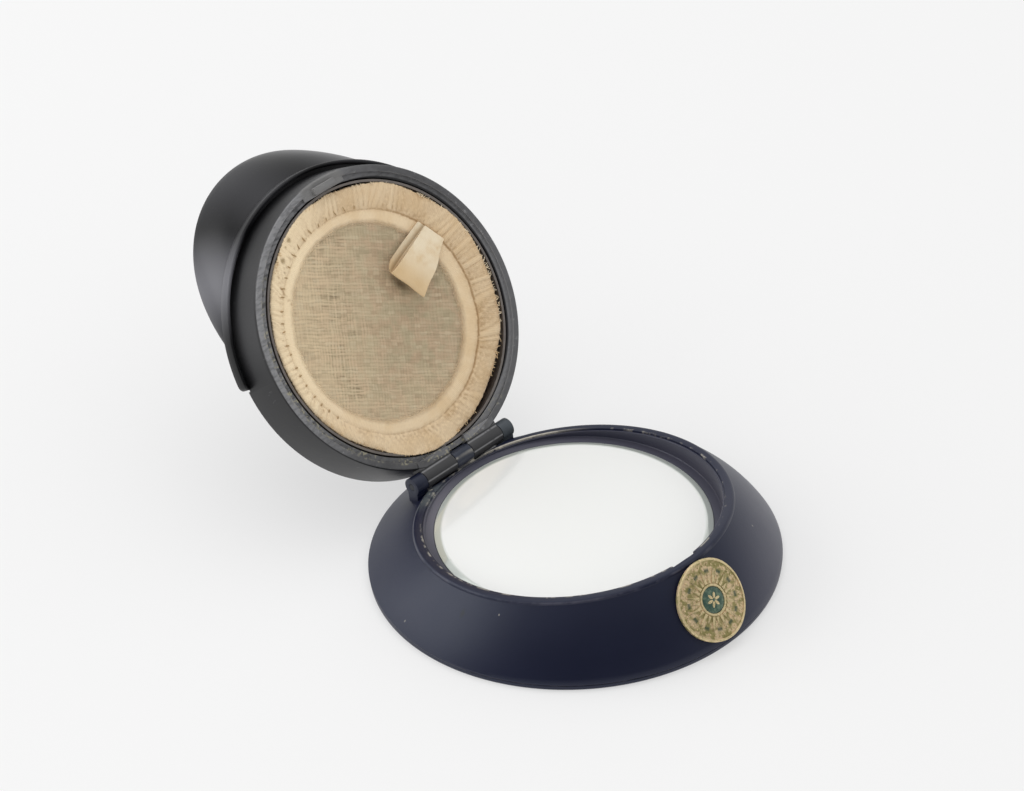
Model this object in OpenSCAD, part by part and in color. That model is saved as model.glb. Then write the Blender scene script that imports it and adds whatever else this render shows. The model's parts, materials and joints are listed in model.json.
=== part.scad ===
// A powder compact shaped like a peaked cap, standing open on its crown.
// The origin is at the middle of the crown's flat top, which rests on the table.
// +Z is up, -Y is the badge side and +Y is the hinge side.

/* [Crown] */
// Widest diameter of the crown
crown_d = 76; // [68:0.5:84]
// Height of the neck's rim over the table, at its middle
rim_h = 11.4; // [10.4:0.1:13]
// Tilt of the neck's rim in degrees, front side up
rim_tilt = 6.2; // [5:0.1:7.4]
// Outer diameter of the neck's rim
neck_d = 59.2; // [54:0.2:62]
// Width of the neck's flat rim
neck_wall = 2.2; // [1.8:0.1:2.6]
// Thickness of the crown's skin
crown_wall = 1.8; // [1.4:0.1:2.2]
// How far the crown's side swells past a straight cone
side_swell = 0.6; // [0:0.1:1.2]
// Rounding of the neck's outer edge
neck_round = 0.7; // [0.3:0.1:1]
// Thickness of the disc that closes the crown
top_disc_t = 1; // [0.8:0.1:1.4]

/* [Mirror] */
// Width of the dark ledge between the mirror and the neck's bore
mirror_ledge = 1.85; // [1.4:0.05:2.4]
// How far the mirror lies under the lowest point of the rim
mirror_drop = 0.15; // [0.1:0.05:0.5]
// Thickness of the mirror's glass
glass_t = 1.9; // [1.4:0.1:2.2]
// Width of the bevel round the glass
bevel_w = 1.1; // [0.6:0.1:1.6]
// Thickness of the silvered layer behind the glass
silver_t = 0.15; // [0.1:0.05:0.3]
// Thickness of the card behind the mirror
card_t = 0.6; // [0.4:0.1:0.9]

/* [Badge] */
// Diameter of the round badge
badge_d = 15.2; // [12:0.1:15.6]
// Thickness of the badge's plate
badge_t = 0.7; // [0.5:0.1:1]
// Diameter of the enamel roundel in the badge
enamel_d = 5; // [3:0.1:7]
// Diameter of the badge's two posts
post_d = 1.1; // [0.8:0.1:1.4]

/* [Hinge] */
// Angle in degrees through which the lid opens
open_angle = 119.7; // [100:0.1:120]
// Height of the hinge's axis over the rim's plane
hinge_rise = 1.15; // [1.05:0.05:1.4]
// How far the hinge's axis lies inside the neck's outer edge
hinge_inset = 0.3; // [0:0.05:0.6]
// Radius of the hinge's knuckles
knuckle_r = 1.75; // [1.6:0.05:1.9]
// Length of the middle knuckle
mid_knuckle = 4.2; // [3:0.1:5.4]
// Length of each of the lid's two knuckles
lid_knuckle = 7.5; // [6:0.1:8.4]
// Length of each outer knuckle
end_knuckle = 2.7; // [2:0.1:3.4]
// Diameter of the hinge pin
pin_d = 1.2; // [1:0.05:1.4]

/* [Band] */
// Depth of the band, from its rim to its back
band_depth = 8.65; // [8.2:0.05:10]
// How far the band's rim lies inside the neck's outer edge
band_inset = 0.85; // [0.6:0.05:1.1]
// How much wider the band's back edge is than its rim, on the radius
band_flare = 0.85; // [0.4:0.05:1.2]
// Gap between the two rims when the compact is shut
closed_gap = 0.38; // [0.25:0.01:0.45]
// Width of the band's flat rim
band_rim = 1.35; // [1.1:0.05:1.6]
// Thickness of the plate that closes the band's back
base_t = 1.2; // [1:0.1:1.6]
// Width of the catch notch in the neck
notch_w = 6; // [4:0.1:8]
// Height of the catch tongue over the band's rim
tongue_h = 1; // [0.7:0.1:1.3]

/* [Visor] */
// How far the visor reaches out at its middle
visor_reach = 13.5; // [10:0.1:17]
// Slope of the visor at its middle, in degrees from the band's back plane
visor_slope = 61.3; // [50:0.1:70]
// Added slope towards the visor's ends, in degrees
visor_droop = 46; // [30:1:50]
// Half of the angle that the visor covers, in degrees
visor_half = 73; // [60:0.5:78]
// Half of the angle that the visor's collar covers, in degrees
collar_half = 88; // [82:0.5:100]
// Thickness of the visor
visor_t = 1.2; // [0.9:0.1:1.5]
// Height of the collar round the band's back edge
collar_h = 2.3; // [1.8:0.1:3]
// Gap between the collar and the band
collar_gap = 0.65; // [0.4:0.05:0.9]

/* [Powder and puff] */
// Gap between the band's bore and the powder pan
pan_gap = 0.3; // [0.2:0.05:0.4]
// Thickness of the pan's wall and floor
pan_wall = 0.45; // [0.3:0.05:0.6]
// Depth of the pressed powder
powder_t = 1.6; // [1:0.1:2]
// Gap between the pan and what lies in it
puff_gap = 0.25; // [0.15:0.05:0.4]
// Width of the gathered ribbon border
border_w = 6.4; // [5:0.1:8]
// Number of gathers in the ribbon
gathers = 36; // [24:1:40]
// Width of the ribbon tab
tab_w = 7; // [5:0.1:8]
// Length of the ribbon tab
tab_l = 12.5; // [9:0.1:14]

/* [Hidden] */
$fn = 96;
hull_fn = 36;

// Overrun of every cut past the face that it opens
over = 0.5;
// Clearance between pieces that are glued or laid in
seat_gap = 0.1;

navy = "#23263c";
black = "#2a2a2d";
brass = "#b3945a";
peach = "#dcbb90";

// Crown
crown_r = crown_d / 2;
neck_r = neck_d / 2;
bore_r = neck_r - neck_wall;
mirror_r = bore_r - mirror_ledge;
// Height of the crown's upright edge over the disc
skirt_h = 0.5;
disc_round = 0.4;
disc_inset = 0.1;
spigot_gap = 0.8;
spigot_h = 0.8;
spigot_wall = 1.2;
spigot_r = crown_r - crown_wall - spigot_gap;
cup_wall = 1.4;
ledge_t = 1.3;
ledge_in = 2;
// Depth of the turned ring at the neck's rim
neck_ring_h = 2.5;
// The small step round the neck's inner edge
step_w = 0.4;
step_h = 0.3;
// Thickness of the shell under the rim, as a share of the crown's skin
roof_share = 1.2;
roof_t = crown_wall * roof_share;
ring_steps = 4;
ring_slice = 0.1;
rim_low = rim_h - bore_r * tan(rim_tilt);
mirror_top = rim_low - mirror_drop;
seat_z = mirror_top - glass_t - silver_t - card_t;
// The ledge beside the mirror lies this far under the glass
ledge_drop = 0.35;
bevel_h = 0.35;

// Badge, on the middle of the crown's front slope
front_low = [-crown_r, top_disc_t + skirt_h];
front_top = [-neck_r * cos(rim_tilt), rim_h + neck_r * sin(rim_tilt)];
front_mid = (front_low + front_top) / 2;
front_slope = atan2(front_top[1] - front_low[1], front_top[0] - front_low[0]);
// Radius of curvature of the front slope, across it
front_curve = -front_mid[0] / sin(front_slope);
badge_stand = side_swell * sin(front_slope) + seat_gap;
badge_rim_w = 0.45;
badge_sink = 0.2;
enamel_sink = 0.35;
// Place of the posts on the badge's radius, and their bite into its plate
post_span_share = 0.52;
post_bite_share = 0.33;
post_l = 2.6;
post_gap = 0.1;

// Hinge, placed in the rim's own plane
hinge_back = neck_r - hinge_inset;
lid_reach = hinge_back;
lid_lean = 180 - rim_tilt - open_angle;
hinge_y = hinge_back * cos(rim_tilt) + hinge_rise * sin(rim_tilt);
hinge_z = rim_h - hinge_back * sin(rim_tilt) + hinge_rise * cos(rim_tilt);
pin_gap = 0.05;
knuckle_gap = 0.15;
relief_gap = 0.3;
web_w = 2.6;
web_deep = 3.4;
web_reach = 3.4;
lid_x0 = mid_knuckle / 2 + knuckle_gap;
lid_x1 = lid_x0 + lid_knuckle;
end_x0 = lid_x1 + knuckle_gap;
end_x1 = end_x0 + end_knuckle;
relief_r = knuckle_r + relief_gap;

// Band, in the lid's own frame: the origin is at the lid's middle, +Z is out
// of its mouth and the hinge's axis lies at y = -lid_reach
rim_s = hinge_rise - closed_gap;
back_s = rim_s - band_depth;
band_r = neck_r - band_inset;
back_r = band_r + band_flare;
band_round = 0.4;
mouth_r = band_r - band_rim;
well_wall = 2.45;
well_r = band_r - well_wall;
mouth_drop = 0.55;
base_seat = back_s + base_t;
base_ledge = 1.1;
base_r = well_r + base_ledge;
pad_w = 10;
pad_in = 0.2;
pad_h = 3;
tongue_t = 1.4;
// How much of the tongue's thickness stands under the band's rim
tongue_under_share = 0.25;
notch_gap = 0.4;
notch_depth = tongue_h - closed_gap + 2 * notch_gap;
tongue_w = notch_w - 2 * notch_gap;
tongue_out = mouth_r + tongue_t * tongue_under_share;

// Visor
collar_wall = 0.75;
flange_t = 0.8;
flange_lip = 0.8;
flange_in = base_r + flange_lip;
collar_in = back_r + collar_gap;
collar_out = collar_in + collar_wall;
collar_round = collar_wall / 2;
collar_mid = collar_in + collar_round;
collar_top = back_s + collar_h - collar_round;
// Added angle of the rebate past the collar's ends, in degrees
rebate_turn = 1;
// Angle over which the collar's tip is rounded, and the columns there and beside it
tip_turn = 0.8;
tip_shares = [0.06, 0.2, 0.5, 1];
beside_cols = 3;
// Place of the blade's outer face on the band's back plane, in shares of its thickness
root_in_share = 0.53;
root_out = collar_out - visor_t * root_in_share;
root_w = visor_t / sin(visor_slope);
blade_cols = 48;
blade_rows = 5;
blade_power_share = 0.8;
blade_belly_share = 0.06;
blade_taper_share = 0.18;

// Powder and puff
pan_r = well_r - pan_gap;
pan_top = rim_s - mouth_drop;
fill_r = pan_r - pan_wall - puff_gap;
powder_s = base_seat + pan_wall;
puff_bottom = powder_s + powder_t + seat_gap;
border_out = fill_r;
border_in = border_out - border_w;
border_top = pan_top + seat_gap;
// Height of the rolled outer part of the ribbon over its flat inner part
border_roll_h = 0.45;
border_t = 1.2;
border_flat = border_top - border_roll_h;
border_under = border_top - border_t;
// Place of the crease across the border, and of the roll's top past the crease
crease_share = 0.42;
roll_shares = [0.3, 0.7];
crease_depth = 0.3;
gather_h = 0.16;
gather_cols = 4;
// The ripple on the border's edge, as a share of the gathers' height
edge_ripple_share = 0.4;
gauze_t = 0.35;
gauze_s = border_under + seat_gap;
body_top = border_under - seat_gap;
// How far the puff's side is drawn in at its top and foot, and its foot in all
body_draw = 0.9;
body_foot = 2.7;
tab_t = 0.3;
tab_loop_h = 1.9;
// Thickness of the loop at its root, as a share of its thickest place
tab_fold_share = 0.35;
tab_lift = 7;
tab_root_shares = [0.688, 0.387];
tab_root = fill_r * tab_root_shares;
tab_turn = 211;
tab_s = border_flat + tab_t;

function arc(mid, r, a0, a1, n) =
    [for (i = [0 : n]) mid + r * [cos(a0 + (a1 - a0) * i / n), sin(a0 + (a1 - a0) * i / n)]];

// Moves from the crown's frame to the frame of the neck's tilted rim
module at_rim() {
    translate([0, 0, rim_h]) rotate([-rim_tilt, 0, 0]) children();
}

// Moves from the crown's frame to the open lid's own frame
module at_lid() {
    translate([0, hinge_y, hinge_z]) rotate([lid_lean, 0, 0])
        translate([0, lid_reach, 0]) children();
}

// Moves to the badge's frame: +Y runs up the slope and +Z is out of it
module at_badge() {
    translate([0, front_mid[0], front_mid[1]]) rotate([front_slope, 0, 0]) children();
}

// A cylinder along X between two places
module bar_x(r, x0, x1) {
    translate([x0, 0, 0]) rotate([0, 90, 0]) cylinder(r = r, h = x1 - x0);
}

module both_sides() {
    children();
    mirror([1, 0, 0]) children();
}

// The crown's swelling side, drawn in by a wall and cut off under the rim
module crown_side(wall, low, high) {
    hull() {
        translate([0, 0, low])
            cylinder(r = crown_r - wall, h = top_disc_t + skirt_h - low, $fn = hull_fn);
        for (i = [1 : ring_steps]) {
            t = i / ring_steps;
            swell = side_swell * 4 * t * (1 - t);
            z = (top_disc_t + skirt_h) * (1 - t) + (rim_h - high) * t;
            r = crown_r * (1 - t) + neck_r * t + swell - wall;
            translate([0, 0, z]) rotate([-rim_tilt * t, 0, 0])
                cylinder(r = r, h = ring_slice, $fn = hull_fn);
        }
    }
}

// The neck's rim, with its rounded outer edge
module neck_ring() {
    at_rim() rotate_extrude() polygon(concat(
        [[bore_r - over, -neck_ring_h], [neck_r, -neck_ring_h]],
        arc([neck_r - neck_round, -neck_round], neck_round, 0, 90, 8),
        [[bore_r - over, 0]]));
}

// A crown knuckle on its web
module crown_knuckle(x0, x1) {
    at_rim() translate([0, hinge_back, hinge_rise]) {
        bar_x(knuckle_r, x0, x1);
        translate([x0, -web_w / 2, -web_deep]) cube([x1 - x0, web_w, web_deep]);
    }
}

module crown_shell() {
    color(navy) difference() {
        union() {
            crown_side(0, top_disc_t, neck_round + ring_slice);
            neck_ring();
            crown_knuckle(-mid_knuckle / 2, mid_knuckle / 2);
            both_sides() crown_knuckle(end_x0, end_x1);
        }
        // The hollow under the mirror, with the mirror's cup left standing
        difference() {
            crown_side(crown_wall, top_disc_t - over, roof_t);
            translate([0, 0, seat_z - ledge_t]) cylinder(r = bore_r + cup_wall, h = 2 * rim_h);
        }
        cylinder(r = mirror_r - ledge_in, h = rim_h);
        translate([0, 0, seat_z]) cylinder(r = mirror_r + seat_gap, h = rim_h);
        translate([0, 0, mirror_top - ledge_drop]) cylinder(r = bore_r, h = rim_h);
        at_rim() {
            translate([0, 0, -step_h]) cylinder(r = bore_r + step_w, h = step_h + over);
            translate([0, hinge_back, hinge_rise]) {
                bar_x(pin_d / 2 + pin_gap, -end_x1 - over, end_x1 + over);
                both_sides() bar_x(relief_r, lid_x0 - knuckle_gap, end_x0);
            }
            translate([-notch_w / 2, -tongue_out - notch_gap, -notch_depth])
                cube([notch_w, tongue_t + notch_gap, notch_depth + over]);
        }
        at_badge() both_sides() translate([badge_d / 2 * post_span_share, 0, -crown_wall - post_l])
            cylinder(d = post_d + 2 * post_gap, h = 2 * post_l + crown_wall);
    }
}

module crown_top_disc() {
    r = crown_r - disc_inset;
    color(navy) rotate_extrude() polygon(concat(
        [[0, 0]],
        arc([r - disc_round, disc_round], disc_round, -90, 0, 8),
        [[r, top_disc_t], [spigot_r, top_disc_t], [spigot_r, top_disc_t + spigot_h],
         [spigot_r - spigot_wall, top_disc_t + spigot_h], [spigot_r - spigot_wall, top_disc_t],
         [0, top_disc_t]]));
}

module mirror_glass() {
    color("#dfe6e2") translate([0, 0, mirror_top - glass_t]) rotate_extrude() polygon([
        [0, 0], [mirror_r, 0], [mirror_r, glass_t - bevel_h], [mirror_r - bevel_w, glass_t],
        [0, glass_t]]);
}

module mirror_silvering() {
    color("#c9ced0") translate([0, 0, seat_z + card_t]) cylinder(r = mirror_r, h = silver_t);
}

module mirror_backing_card() {
    color("#6e5f4e") translate([0, 0, seat_z]) cylinder(r = mirror_r, h = card_t);
}

// A round plate bent to the crown's front slope
module bent_disc(d, low, high) {
    intersection() {
        translate([0, 0, -front_curve / 2]) cylinder(d = d, h = front_curve);
        translate([0, -d, -front_curve]) rotate([-90, 0, 0]) difference() {
            cylinder(r = front_curve + high, h = 2 * d, $fn = 2 * $fn);
            translate([0, 0, -over])
                cylinder(r = front_curve + low, h = 2 * d + 2 * over, $fn = 2 * $fn);
        }
    }
}

module badge_plate() {
    top = badge_stand + badge_t;
    color(brass) at_badge() {
        difference() {
            bent_disc(badge_d, badge_stand, top);
            bent_disc(badge_d - 2 * badge_rim_w, top - badge_sink, top + badge_t);
            translate([0, 0, top - enamel_sink]) cylinder(d = enamel_d, h = badge_t);
        }
        both_sides() translate([badge_d / 2 * post_span_share, 0, badge_stand - post_l])
            cylinder(d = post_d, h = post_l + badge_t * post_bite_share);
    }
}

module badge_enamel() {
    color("#2c4a41") at_badge() translate([0, 0, badge_stand + badge_t - enamel_sink])
        cylinder(d = enamel_d - seat_gap, h = enamel_sink);
}

module hinge_pin() {
    color("#8d8f92") at_rim() translate([0, hinge_back, hinge_rise]) bar_x(pin_d / 2, -end_x1, end_x1);
}

// The catch: a flat pad inside the mouth, and the tongue that enters the neck's notch
module catch() {
    translate([-pad_w / 2, well_r - pad_in, rim_s - pad_h])
        cube([pad_w, mouth_r - well_r + pad_in + over, pad_h]);
    translate([-tongue_w / 2, tongue_out - tongue_t, rim_s - pad_h])
        cube([tongue_w, tongue_t, pad_h + tongue_h]);
}

module lid_knuckle_on_web() {
    translate([0, -lid_reach, 0]) {
        bar_x(knuckle_r, lid_x0, lid_x1);
        translate([lid_x0, 0, -knuckle_r]) cube([lid_knuckle, web_reach, knuckle_r + rim_s - seat_gap]);
    }
}

module band_shell() {
    color(black) at_lid() difference() {
        union() {
            difference() {
                union() {
                    rotate_extrude() polygon(concat(
                        [[well_r, back_s], [back_r - band_round, back_s]],
                        arc([back_r - band_round, back_s + band_round], band_round, -90, 0, 6),
                        arc([band_r - band_round, rim_s - band_round], band_round, 0, 90, 6),
                        [[well_r, rim_s]]));
                    both_sides() lid_knuckle_on_web();
                }
                translate([0, 0, back_s - over]) cylinder(r = well_r, h = band_depth + 2 * over);
                translate([0, 0, rim_s - mouth_drop]) cylinder(r = mouth_r, h = mouth_drop + over);
            }
            catch();
        }
        translate([0, 0, back_s - over]) cylinder(r = base_r, h = base_t + over);
        // The rebate that the visor's flange is glued into
        rotate([0, 0, 90 - collar_half - rebate_turn])
            rotate_extrude(angle = 2 * (collar_half + rebate_turn))
                translate([flange_in - seat_gap, back_s - over]) square([back_r, flange_t + over]);
        translate([0, -lid_reach, 0]) {
            bar_x(pin_d / 2 + pin_gap, -end_x1, end_x1);
            bar_x(relief_r, -lid_x0, lid_x0);
            both_sides() bar_x(relief_r, lid_x1, end_x1 + relief_gap);
        }
    }
}

module band_base_plate() {
    color(black) at_lid() translate([0, 0, back_s]) cylinder(r = base_r - seat_gap, h = base_t);
}

// Reach and slope of the blade at an angle v from the visor's middle
function blade_width(v) = abs(v) < visor_half
    ? visor_reach * pow(cos(90 * v / visor_half), blade_power_share) : 0;
function blade_slope(v) = visor_slope + visor_droop * (1 - cos(min(abs(v), visor_half)));

// One point of the blade's section: q runs from the root to the edge, and side is 0 on
// the outer face and 1 on the inner one
function blade_point(v, q, side) =
    let (w = blade_width(v), a = blade_slope(v), belly = w * blade_belly_share * 4 * q * (1 - q),
         across = root_w * (side + blade_taper_share * q * (1 - 2 * side)))
    [root_out - across + w * q * cos(a) + belly * sin(a), back_s - w * q * sin(a) + belly * cos(a)];

// Half of the collar's thickness at an angle v, rounded off at its tips
function collar_half_t(v) =
    let (x = min(1, (collar_half - abs(v)) / tip_turn)) collar_round * sqrt(1 - pow(1 - x, 2));

// The visor's whole section at an angle v: flange, blade and collar
function visor_section(v) = let (t = collar_half_t(v)) concat(
    [[flange_in, back_s]],
    [for (j = [0 : blade_rows]) blade_point(v, j / blade_rows, 1)],
    [for (j = [blade_rows : -1 : 0]) blade_point(v, j / blade_rows, 0)],
    [[collar_mid + t, back_s]],
    arc([collar_mid, collar_top], t, 0, 180, 4),
    [[collar_mid - t, back_s + flange_t], [flange_in, back_s + flange_t]]);

module visor() {
    side_turns = concat(
        [for (x = tip_shares) collar_half - tip_turn * x],
        [for (i = [1 : beside_cols])
            collar_half - tip_turn - (collar_half - tip_turn - visor_half) * i / (beside_cols + 1)]);
    turns = concat(-side_turns,
                   [for (i = [0 : blade_cols]) visor_half * (2 * i / blade_cols - 1)],
                   [for (i = [len(side_turns) - 1 : -1 : 0]) side_turns[i]]);
    k = len(visor_section(0));
    last = (len(turns) - 1) * k;
    points = [for (v = turns, p = visor_section(v)) [p[0] * sin(v), p[0] * cos(v), p[1]]];
    sides = [for (i = [0 : len(turns) - 2], j = [0 : k - 1])
        let (near = i * k, far = near + k, next = (j + 1) % k)
        each [[near + j, far + next, near + next], [near + j, far + j, far + next]]];
    ends = [[for (j = [0 : k - 1]) j], [for (j = [k - 1 : -1 : 0]) last + j]];
    color("#232326") at_lid() polyhedron(points, concat(sides, ends));
}

module powder_pan() {
    color("#a9a49a") at_lid() rotate_extrude() polygon([
        [0, base_seat], [pan_r, base_seat], [pan_r, pan_top], [pan_r - pan_wall, pan_top],
        [pan_r - pan_wall, powder_s], [0, powder_s]]);
}

module powder_cake() {
    color("#e3c3a4") at_lid() translate([0, 0, powder_s]) cylinder(r = fill_r, h = powder_t);
}

module puff_body() {
    mid_s = (puff_bottom + body_top) / 2;
    color(peach) at_lid() rotate_extrude() polygon(concat(
        [[0, puff_bottom], [fill_r - body_foot, puff_bottom]],
        [for (i = [0 : 8]) [fill_r - body_draw * (1 - sin(22.5 * i)),
                            puff_bottom + (body_top - puff_bottom) * (1 - cos(22.5 * i)) / 2]],
        [[0, body_top]]));
}

module puff_gauze() {
    color("#b9a585") at_lid() translate([0, 0, gauze_s]) cylinder(r = border_in - seat_gap, h = gauze_t);
}

// The gathered ribbon: a closed ring whose rounded outer part is rippled
module puff_border() {
    crease = border_in + border_w * crease_share;
    roll = (border_out - crease) * roll_shares;
    low = border_top - gather_h;
    // Radius, height, rise and inward pull of the ripple at each corner of the section
    section = [
        [border_in, border_under, 0, 0],
        [border_in, border_flat, 0, 0],
        [crease - crease_depth, border_flat, 0, 0],
        [crease, border_flat - crease_depth, 0, 0],
        [crease + roll[0], low, gather_h, 0],
        [crease + roll[1], low, gather_h, 0],
        [border_out, (low + border_under) / 2, gather_h * edge_ripple_share, gather_h],
        [border_out - crease_depth, border_under, 0, 0]];
    n = gathers * gather_cols;
    k = len(section);
    points = [for (i = [0 : n - 1], p = section)
        let (a = 360 * i / n, wave = cos(gathers * a), r = p[0] - p[3] * (1 - wave) / 2)
        [r * cos(a), r * sin(a), p[1] + p[2] * wave]];
    faces = [for (i = [0 : n - 1], j = [0 : k - 1])
        let (near = i * k, far = (i + 1) % n * k, next = (j + 1) % k)
        each [[near + j, near + next, far + next], [near + j, far + next, far + j]]];
    color(peach) at_lid() polyhedron(points, faces);
}

// A flattened loop of ribbon, seen from its side and drawn in by an inset
function loop_outline(inset) = [for (i = [1 : 35])
    let (t = 10 * i, along = (1 - cos(t)) / 2,
         thick = tab_fold_share + (1 - tab_fold_share) * along)
    [inset + (tab_l - 2 * inset) * along, (tab_loop_h / 2 - inset) * thick * sin(t)]];

module puff_tab() {
    color("#e2c79d") at_lid() translate([tab_root[0], tab_root[1], tab_s]) rotate([0, 0, tab_turn])
        rotate([0, -tab_lift, 0]) translate([0, tab_w / 2, tab_t]) rotate([90, 0, 0])
        linear_extrude(tab_w) difference() {
            polygon(loop_outline(0));
            polygon(loop_outline(tab_t));
        }
}

crown_shell();
crown_top_disc();
mirror_glass();
mirror_silvering();
mirror_backing_card();
badge_plate();
badge_enamel();
hinge_pin();
band_shell();
band_base_plate();
visor();
powder_pan();
powder_cake();
puff_body();
puff_gauze();
puff_border();
puff_tab();
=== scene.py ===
"""A powder compact shaped like a peaked cap, open on its crown, dressed for a studio picture.

Sizes are in millimetres and degrees unless a name says otherwise. The crown stands on its
flat top at the origin, +Z is up, -Y is the badge side and +Y is the hinge side. What the lid
carries is modelled in the lid's own frame, with its middle at the origin and its mouth
towards +Z, and is then set on the open lid.
"""

import json
import logging
import math
import random
from dataclasses import dataclass, field
from enum import Enum
from itertools import pairwise
from typing import Any, Callable, Iterable, Mapping, NamedTuple, Sequence

import bmesh
import bpy
from mathutils import Matrix, Vector, noise


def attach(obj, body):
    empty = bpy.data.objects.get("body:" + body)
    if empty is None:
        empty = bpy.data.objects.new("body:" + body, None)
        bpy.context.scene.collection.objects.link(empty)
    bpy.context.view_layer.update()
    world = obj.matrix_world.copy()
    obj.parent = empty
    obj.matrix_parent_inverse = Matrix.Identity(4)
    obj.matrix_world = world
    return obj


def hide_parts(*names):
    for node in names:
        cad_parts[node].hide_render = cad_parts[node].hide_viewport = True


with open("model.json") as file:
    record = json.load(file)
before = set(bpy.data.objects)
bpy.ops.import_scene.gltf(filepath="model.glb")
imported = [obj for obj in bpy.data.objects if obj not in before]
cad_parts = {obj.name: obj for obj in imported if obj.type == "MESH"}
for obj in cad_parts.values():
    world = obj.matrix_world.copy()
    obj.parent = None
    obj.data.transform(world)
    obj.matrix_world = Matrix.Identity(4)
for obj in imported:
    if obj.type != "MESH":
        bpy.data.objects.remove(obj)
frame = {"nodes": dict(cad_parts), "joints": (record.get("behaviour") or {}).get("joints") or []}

Colour = tuple[float, float, float]
Material = bpy.types.Material
Piece = bpy.types.Object

LOG = logging.getLogger("compact")
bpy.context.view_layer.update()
MM = 0.001

RIM_HEIGHT = 11.4
RIM_TILT = 6.2
OPEN_ANGLE = 119.7
LID_REACH = 29.3
HINGE = Vector(frame["joints"][0]["pos_m"])
BADGE_SPOT = Vector((0.0, -33.713, 8.048))
BADGE_SLOPE = 56.79


def leaning(spot: Vector, slope: float) -> Matrix:
    """The frame at a spot in metres that is turned about X by a slope."""
    return Matrix.Translation(spot) @ Matrix.Rotation(math.radians(slope), 4, "X")


RIM_FRAME = leaning(Vector((0, 0, RIM_HEIGHT * MM)), -RIM_TILT)
RIM_HINGE_FRAME = leaning(HINGE, -RIM_TILT)
LID_HINGE_FRAME = leaning(HINGE, 180 - RIM_TILT - OPEN_ANGLE)
LID_FRAME = LID_HINGE_FRAME @ Matrix.Translation((0, LID_REACH * MM, 0))
BADGE_FRAME = leaning(BADGE_SPOT * MM, BADGE_SLOPE)


class Body(Enum):
    """The two bodies that pieces ride on."""

    CROWN = "crown"
    BAND = "band"


class Slot(Enum):
    """The record's material slots, one for each kind of finish."""

    NAVY = "navy_plastic"
    GLASS = "clear_glass"
    BRASS = "badge_brass"
    ENAMEL = "green_enamel"
    BLACK = "black_plastic"
    VISOR = "visor_plastic"
    VELOUR = "velour"
    GAUZE = "gauze"
    RIBBON = "ribbon"


# Modelling by hand


def clear() -> None:
    """Goes to object mode and deselects everything."""
    if bpy.context.mode != "OBJECT":
        bpy.ops.object.mode_set(mode="OBJECT")
    bpy.ops.object.select_all(action="DESELECT")


def pick(piece: Piece) -> None:
    """Makes one piece the only selected and the active one.

    Args:
        piece: The piece.
    """
    clear()
    piece.select_set(True)
    bpy.context.view_layer.objects.active = piece


def named(name: str) -> Piece:
    """Names the piece that an operator has just made, and its mesh.

    Args:
        name: The name they get.

    Returns:
        The piece.
    """
    piece = bpy.context.active_object
    piece.name = piece.data.name = name
    return piece


def settle(piece: Piece, place: Matrix | None = None) -> Piece:
    """Puts a piece at its place and moves that place into its mesh.

    Args:
        piece: The piece to settle.
        place: Where to put it first, or None to leave it where it is.

    Returns:
        The same piece, at the origin, unturned and unscaled.
    """
    pick(piece)
    if place is not None:
        piece.matrix_world = place @ piece.matrix_world
    bpy.ops.object.transform_apply(location=True, rotation=True, scale=True)
    return piece


def edit(piece: Piece, choice: str = "DESELECT") -> None:
    """Opens a piece in edit mode with nothing selected, or with all of it for SELECT.

    Args:
        piece: The piece.
        choice: DESELECT or SELECT.
    """
    pick(piece)
    bpy.ops.object.mode_set(mode="EDIT")
    bpy.ops.mesh.select_mode(type="VERT")
    bpy.ops.mesh.select_all(action=choice)


def close_up() -> None:
    """Turns every face of the mesh in edit mode outwards and leaves edit mode."""
    bpy.ops.mesh.select_all(action="SELECT")
    bpy.ops.mesh.normals_make_consistent(inside=False)
    clear()


def select_faces(piece: Piece, wanted: Callable[[Vector, Vector], bool]) -> None:
    """Selects faces of the piece in edit mode by their middle and normal, in millimetres.

    Args:
        piece: The piece.
        wanted: Says of a face's middle and normal whether it is selected.
    """
    bpy.ops.mesh.select_mode(type="FACE")
    shape = bmesh.from_edit_mesh(piece.data)
    for face in shape.faces:
        face.select_set(wanted(face.calc_center_median() / MM, face.normal))
    bmesh.update_edit_mesh(piece.data)


def draw_out(piece: Piece, wanted: Callable[[Vector, Vector], bool],
             step: Sequence[float]) -> None:
    """Draws faces of a piece out along one axis until they lie flat at the step's end.

    Args:
        piece: The piece.
        wanted: Says of a face's middle and normal whether it is drawn out.
        step: How far they go, along one axis.
    """
    edit(piece)
    select_faces(piece, wanted)
    end = [length * MM for length in step]
    bpy.ops.mesh.extrude_region_move(TRANSFORM_OT_translate={"value": end})
    bpy.ops.transform.resize(value=[0 if length else 1 for length in step],
                             center_override=end)
    close_up()


def apply_modifier(piece: Piece, kind: str, **settings: Any) -> None:
    """Adds one modifier to a piece, sets it and applies it.

    Args:
        piece: The piece.
        kind: The modifier's type.
        **settings: Its settings, by name.
    """
    modifier = piece.modifiers.new(kind.lower(), kind)
    for name, value in settings.items():
        setattr(modifier, name, value)
    pick(piece)
    bpy.ops.object.modifier_apply(modifier=modifier.name)


def smooth(piece: Piece, angle: float) -> Piece:
    """Shades a piece smooth wherever its faces meet at less than an angle.

    Args:
        piece: The piece.
        angle: Edges that turn by more than this stay sharp.

    Returns:
        The same piece.
    """
    pick(piece)
    bpy.ops.object.shade_smooth_by_angle(angle=math.radians(angle))
    return piece


def soften(piece: Piece, width: float, angle: float = 35.0) -> Piece:
    """Rounds off a piece's edges that turn by more than an angle, and shades it smooth.

    Args:
        piece: The piece.
        width: Width of the rounding.
        angle: Edges that turn by less than this are left.

    Returns:
        The same piece.
    """
    apply_modifier(piece, "BEVEL", width=width * MM, segments=3, limit_method="ANGLE",
                   angle_limit=math.radians(angle), use_clamp_overlap=True)
    return smooth(piece, 40)


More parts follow.
